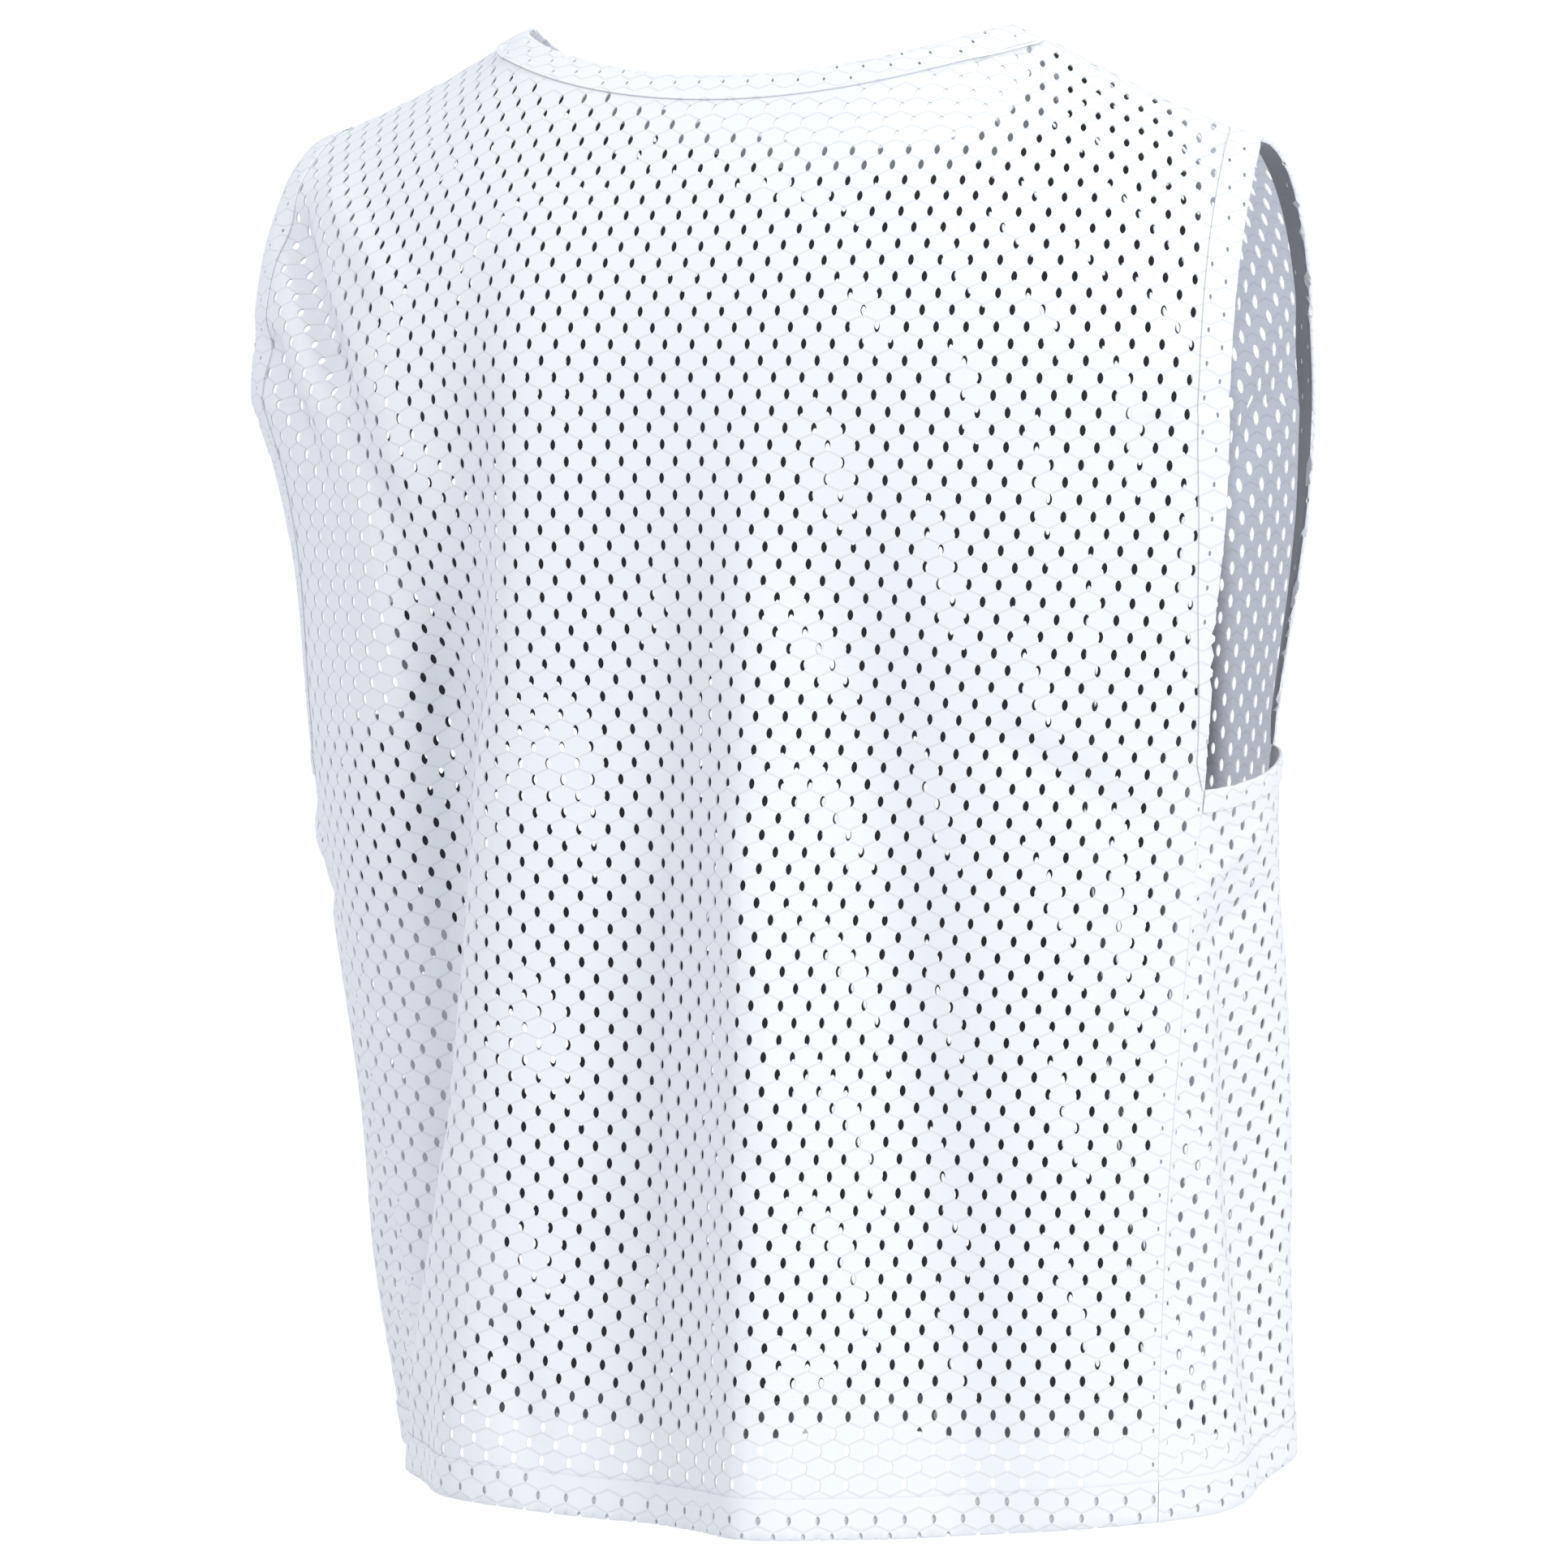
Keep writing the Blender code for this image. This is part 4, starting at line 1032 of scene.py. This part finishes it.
def add_camera():
    aim = np.array(CAMERA_AIM)
    away = np.array([-math.sin(CAMERA_TURN) * math.cos(CAMERA_RISE),
                     math.cos(CAMERA_TURN) * math.cos(CAMERA_RISE), math.sin(CAMERA_RISE)])
    data = bpy.data.cameras.new("camera")
    data.lens = LENS
    data.sensor_width = 36.0
    data.clip_end = 50.0
    camera = bpy.data.objects.new("camera", data)
    camera.location = aim + away * CAMERA_AWAY
    camera.rotation_euler = (math.pi / 2 - CAMERA_RISE, 0.0, math.pi + CAMERA_TURN)
    bpy.context.scene.collection.objects.link(camera)
    bpy.context.scene.camera = camera


def area_light(name, place, aim, size, power):
    from mathutils import Vector
    data = bpy.data.lights.new(name, "AREA")
    data.shape = "DISK"
    data.size = size
    data.energy = power
    data.color = (1.0, 0.97, 0.88)
    light = bpy.data.objects.new(name, data)
    light.location = place
    light.rotation_euler = (Vector(aim) - Vector(place)).to_track_quat("-Z", "Y").to_euler()
    bpy.context.scene.collection.objects.link(light)


def node(tree, kind, **settings):
    """A new shader node with its settings."""
    made = tree.nodes.new(kind)
    for name, value in settings.items():
        setattr(made, name, value)
    return made


def number(tree, operation, first, second=None, third=None):
    """A maths node on values or sockets."""
    made = node(tree, "ShaderNodeMath", operation=operation)
    for k, value in enumerate((first, second, third)):
        if value is None:
            continue
        if isinstance(value, (int, float)):
            made.inputs[k].default_value = value
        else:
            tree.links.new(value, made.inputs[k])
    return made.outputs[0]


def step_down(tree, value, low, high):
    """1 under low, 0 over high."""
    made = node(tree, "ShaderNodeMapRange", interpolation_type="SMOOTHSTEP")
    tree.links.new(value, made.inputs["Value"])
    made.inputs["From Min"].default_value = low
    made.inputs["From Max"].default_value = high
    made.inputs["To Min"].default_value = 1.0
    made.inputs["To Max"].default_value = 0.0
    return made.outputs["Result"]


def cloth_material(name, is_inside, between=0.0):
    """White knit with faint lines of small holes between the large ones."""
    material = bpy.data.materials.new(name)
    material.use_nodes = True
    tree = material.node_tree
    shader = tree.nodes["Principled BSDF"]
    fabric = node(tree, "ShaderNodeUVMap", uv_map="fabric")
    parts = node(tree, "ShaderNodeSeparateXYZ")
    tree.links.new(fabric.outputs["UV"], parts.inputs[0])
    across, up = parts.outputs[0], parts.outputs[1]

    p = number(tree, "PINGPONG", number(tree, "DIVIDE", across, PITCH_ACROSS), 0.5)
    q = number(tree, "MULTIPLY", number(tree, "DIVIDE", up, PITCH_UP), -1.0)
    q = number(tree, "FLOORED_MODULO", q, 1.0)
    first = number(tree, "MULTIPLY_ADD", p, LINE_SLOPE, LINE_START)
    second = number(tree, "MULTIPLY_ADD", number(tree, "SUBTRACT", 0.5, p), LINE_SLOPE, LINE_START + 0.5)
    off = number(tree, "MINIMUM", number(tree, "ABSOLUTE", number(tree, "SUBTRACT", q, first)),
                 number(tree, "ABSOLUTE", number(tree, "SUBTRACT", q, second)))
    off = number(tree, "MULTIPLY", off, PITCH_UP)
    line = step_down(tree, off, LINE_WIDE * 0.30, LINE_WIDE * 0.62)
    tick = number(tree, "SINE", number(tree, "MULTIPLY", across, 2 * math.pi / TICK_PITCH))
    tick = number(tree, "MULTIPLY_ADD", tick, 0.5, 0.5)
    ticks = number(tree, "MULTIPLY", line, tick)
    thread_up = number(tree, "SINE", number(tree, "MULTIPLY", across, 2 * math.pi / KNIT_ACROSS))
    thread_across = number(tree, "SINE", number(tree, "MULTIPLY", up, 2 * math.pi / KNIT_UP))
    knit = number(tree, "ADD", thread_up, number(tree, "MULTIPLY", thread_across, 0.7))
    noise = node(tree, "ShaderNodeTexNoise")
    noise.inputs["Scale"].default_value = 420.0
    noise.inputs["Detail"].default_value = 3.0
    tree.links.new(fabric.outputs["UV"], noise.inputs["Vector"])
    height = number(tree, "MULTIPLY_ADD", knit, 0.12, number(tree, "MULTIPLY", noise.outputs["Fac"], 0.5))
    height = number(tree, "SUBTRACT", height, number(tree, "MULTIPLY", ticks, 0.6))
    bump = node(tree, "ShaderNodeBump")
    bump.inputs["Strength"].default_value = 0.55
    bump.inputs["Distance"].default_value = 0.00012
    tree.links.new(height, bump.inputs["Height"])
    tree.links.new(bump.outputs["Normal"], shader.inputs["Normal"])

    paint = node(tree, "ShaderNodeMix", data_type="RGBA")
    paint.inputs["A"].default_value = (*CLOTH_COLOUR, 1.0)
    paint.inputs["B"].default_value = (*LINE_COLOUR, 1.0)
    tree.links.new(number(tree, "MULTIPLY", ticks, 0.60), paint.inputs["Factor"])
    colour = paint.outputs["Result"]
    # The inside is painted with shade: its colour is darkened by the attribute that holds each point's painted light
    if is_inside:
        painted_light = node(tree, "ShaderNodeAttribute", attribute_name="painted_light")
        shade = node(tree, "ShaderNodeMix", data_type="RGBA")
        shade.inputs["A"].default_value = (*PAINTED_SHADE_INSIDE, 1.0)
        shade.inputs["B"].default_value = (*LIGHT_INSIDE, 1.0)
        tree.links.new(painted_light.outputs["Fac"], shade.inputs["Factor"])
        blend = node(tree, "ShaderNodeMix", data_type="RGBA", blend_type="MULTIPLY")
        blend.inputs["Factor"].default_value = 1.0
        tree.links.new(colour, blend.inputs["A"])
        tree.links.new(shade.outputs["Result"], blend.inputs["B"])
        colour = blend.outputs["Result"]
    tree.links.new(colour, shader.inputs["Base Color"])
    # Painted glow: the inside emits its own painted colour, standing in for light through the thin cloth
    if is_inside:
        tree.links.new(colour, shader.inputs["Emission Color"])
        shader.inputs["Emission Strength"].default_value = THROUGH_LIGHT
    # Painted glow: the faces between a hem's layers emit the cloth colour
    if between > 0:
        shader.inputs["Emission Color"].default_value = (*CLOTH_COLOUR, 1.0)
        shader.inputs["Emission Strength"].default_value = between
    shader.inputs["Roughness"].default_value = 0.78
    shader.inputs["Specular IOR Level"].default_value = 0.25
    shader.inputs["Sheen Weight"].default_value = 0.7 if is_inside else 0.12
    shader.inputs["Sheen Roughness"].default_value = 0.35 if is_inside else 0.5
    return material


def by_armhole(points):
    """1 beside the armholes, 0 away from them."""
    x, z = np.abs(points[:, 0]), points[:, 2]
    return ease((x - 0.172) / 0.024) * ease((z - CORNER_Z + 0.05) / 0.04)


def back_painted_light(points):
    """Painted light on the inside of the back: 0 is painted dark, 1 is light."""
    return 0.45 + 0.35 * np.maximum(by_armhole(points), ease((points[:, 2] + 0.15) / 0.07))


def half_light(z):
    """1 between the waist and a little above the hem, 0 above and below."""
    return ease((-0.375 - z) / 0.04) * ease((z + 0.61) / 0.04)


def front_painted_light(points):
    """Painted light on the inside of the front, 0 being painted dark. Low on the wearer's left it is half light."""
    x, z = points[:, 0], points[:, 2]
    low_left = 0.60 * ease((x - 0.200) / 0.03) * half_light(z)
    low_right = 0.55 * ease((-x - 0.145) / 0.03) * ease((CORNER_Z + 0.02 - z) / 0.04)
    return np.maximum(by_armhole(points) * (x < 0), np.maximum(low_left, low_right))


def side_painted_light(points):
    """Painted light on the inside of a side panel, 0 being painted dark: low on the wearer's left it is half light."""
    x, z = points[:, 0], points[:, 2]
    return np.where(x > 0, 0.60 * half_light(z), 0.25)


# Painted shade of the neck band's inside: light on the back, darker on the front
def neck_painted_light(points):
    return np.where(points[:, 1] > -0.01, 0.9, 0.30)


# Painted shade of the insides of the armhole and side bands
def arm_painted_light(points):
    return np.full(len(points), 0.22)


# Painted shade of the bottom hem's inside: nearly dark
def hem_painted_light(points):
    return np.full(len(points), 0.10)


# Painted light of the inside of each piece, by the part's name
painted_lights = {"back_panel": back_painted_light, "front_panel": front_painted_light, "side_panel_left": side_painted_light,
         "side_panel_right": side_painted_light, "neck_hem": neck_painted_light, "armhole_hem_left": arm_painted_light,
         "armhole_hem_right": arm_painted_light, "side_hem_left": arm_painted_light, "side_hem_right": arm_painted_light,
         "bottom_hem": hem_painted_light}
# Outside cloth; inside cloth with painted shade and painted glow; cloth between a hem's layers with painted glow
LOOKS = [cloth_material("mesh_outside", False), cloth_material("mesh_inside_painted_shade", True),
         cloth_material("mesh_between_glow", False, BETWEEN_LIGHT)]

add_camera()
back = make_panel("back")
front = make_panel("front")
share_shoulder(back, front)
back = creased(back, BACK_CREASES, [0, 2])
front = creased(front, FRONT_CREASES, [0, 2])
middle = (FINE_COLUMNS - 1) // 2
back_chart = panel_chart(back, middle)
front_chart = panel_chart(front, middle)
left_chart = panel_chart(creased(make_side("left"), SIDE_CREASES, [1, 2]), 0)
right_chart = panel_chart(creased(make_side("right"), SIDE_CREASES, [1, 2]), 0)

pieces = []
low_edge = HEM_Z + BOTTOM_HEM - UNDER_HEM
for name, chart, phase, node in (("back_cloth", back_chart, BACK_PHASE, "back_panel"),
                                 ("front_cloth", front_chart, FRONT_PHASE, "front_panel")):
    outline = panel_outline(chart, low_edge)
    rows = np.linspace(panel_row(low_edge), panel_row(CORNER_Z), 110)
    seams = np.vstack([edge_path(chart, rows, side, lambda row: EDGE_GAP) for side in (-1, 1)])
    made, area = net_cloth(name, chart, outline, phase, painted_lights[node], seams=seams)
    parts, holes = [made], made["holes"]
    for side in (-1, 1):
        strip, strip_area = seam_strip(name + "_strip", chart, low_edge, side, phase, painted_lights[node])
        parts.append(strip)
        holes += strip["holes"]
        area += strip_area
    made = join(name, parts)
    made["holes"] = holes
    size = outline.max(0) - outline.min(0) + np.array([2 * ALLOWANCE, 0])
    pieces.append((made, area, size, node))
for name, chart, node in (("side_cloth_left", left_chart, "side_panel_left"),
                          ("side_cloth_right", right_chart, "side_panel_right")):
    outline = side_outline(chart, low_edge, CORNER_Z - SIDE_BAND + UNDER_HEM)
    rows = np.linspace(0, 1, 110)
    seams = np.vstack([read(chart.flat, rows, np.full_like(rows, column)) for column in (0.0, 1.0)])
    made, area = net_cloth(name, chart, outline, SIDE_PHASE, painted_lights[node], seams=seams)
    pieces.append((made, area, outline.max(0) - outline.min(0), node))

for name, node, strips in make_hems(back_chart, front_chart, left_chart, right_chart):
    parts = []
    total = 0.0
    sizes = []
    for chart, phase in strips:
        made, area = net_cloth(name + "_part", chart, chart_outline(chart), phase, painted_lights[node], True,
                               HEM_HOLES[node])
        parts.append(made)
        total += area
        sizes.append(strip_size(chart))
    holes = sum(part["holes"] for part in parts)
    made = join(name, parts) if len(parts) > 1 else parts[0]
    made.name = name
    made["holes"] = holes
    pieces.append((made, total, (sum(size[0] for size in sizes), max(size[1] for size in sizes)), node))

for made, area, size, node in pieces:
    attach(made, "root")
    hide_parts(node)
    "hem_cloth" if "hem" in node else "mesh_cloth"
    made["triangles"] = sum(len(face.vertices) - 2 for face in made.data.polygons)

world = bpy.data.worlds.new("studio")
world.use_nodes = True
world.node_tree.nodes["Background"].inputs["Color"].default_value = (0.93, 0.945, 1.0, 1)
world.node_tree.nodes["Background"].inputs["Strength"].default_value = 1.08
bpy.context.scene.world = world
bpy.context.scene.view_settings.view_transform = "Standard"
area_light("key", (-2.86, 1.41, 1.1), (0, 0, -0.3), 1.2, 58)
area_light("top", (0.5, 1.7, 2.4), (0, 0, -0.2), 2.0, 22)
bpy.ops.mesh.primitive_circle_add(vertices=96, radius=0.62, fill_type="NGON", location=(0, 0, FLOOR_Z))
floor = bpy.context.object
floor.name = "floor"
pale = bpy.data.materials.new("pale_floor")
pale.use_nodes = True
pale.node_tree.nodes["Principled BSDF"].inputs["Base Color"].default_value = (0.82, 0.82, 0.82, 1)
pale.node_tree.nodes["Principled BSDF"].inputs["Roughness"].default_value = 0.9
floor.data.materials.append(pale)
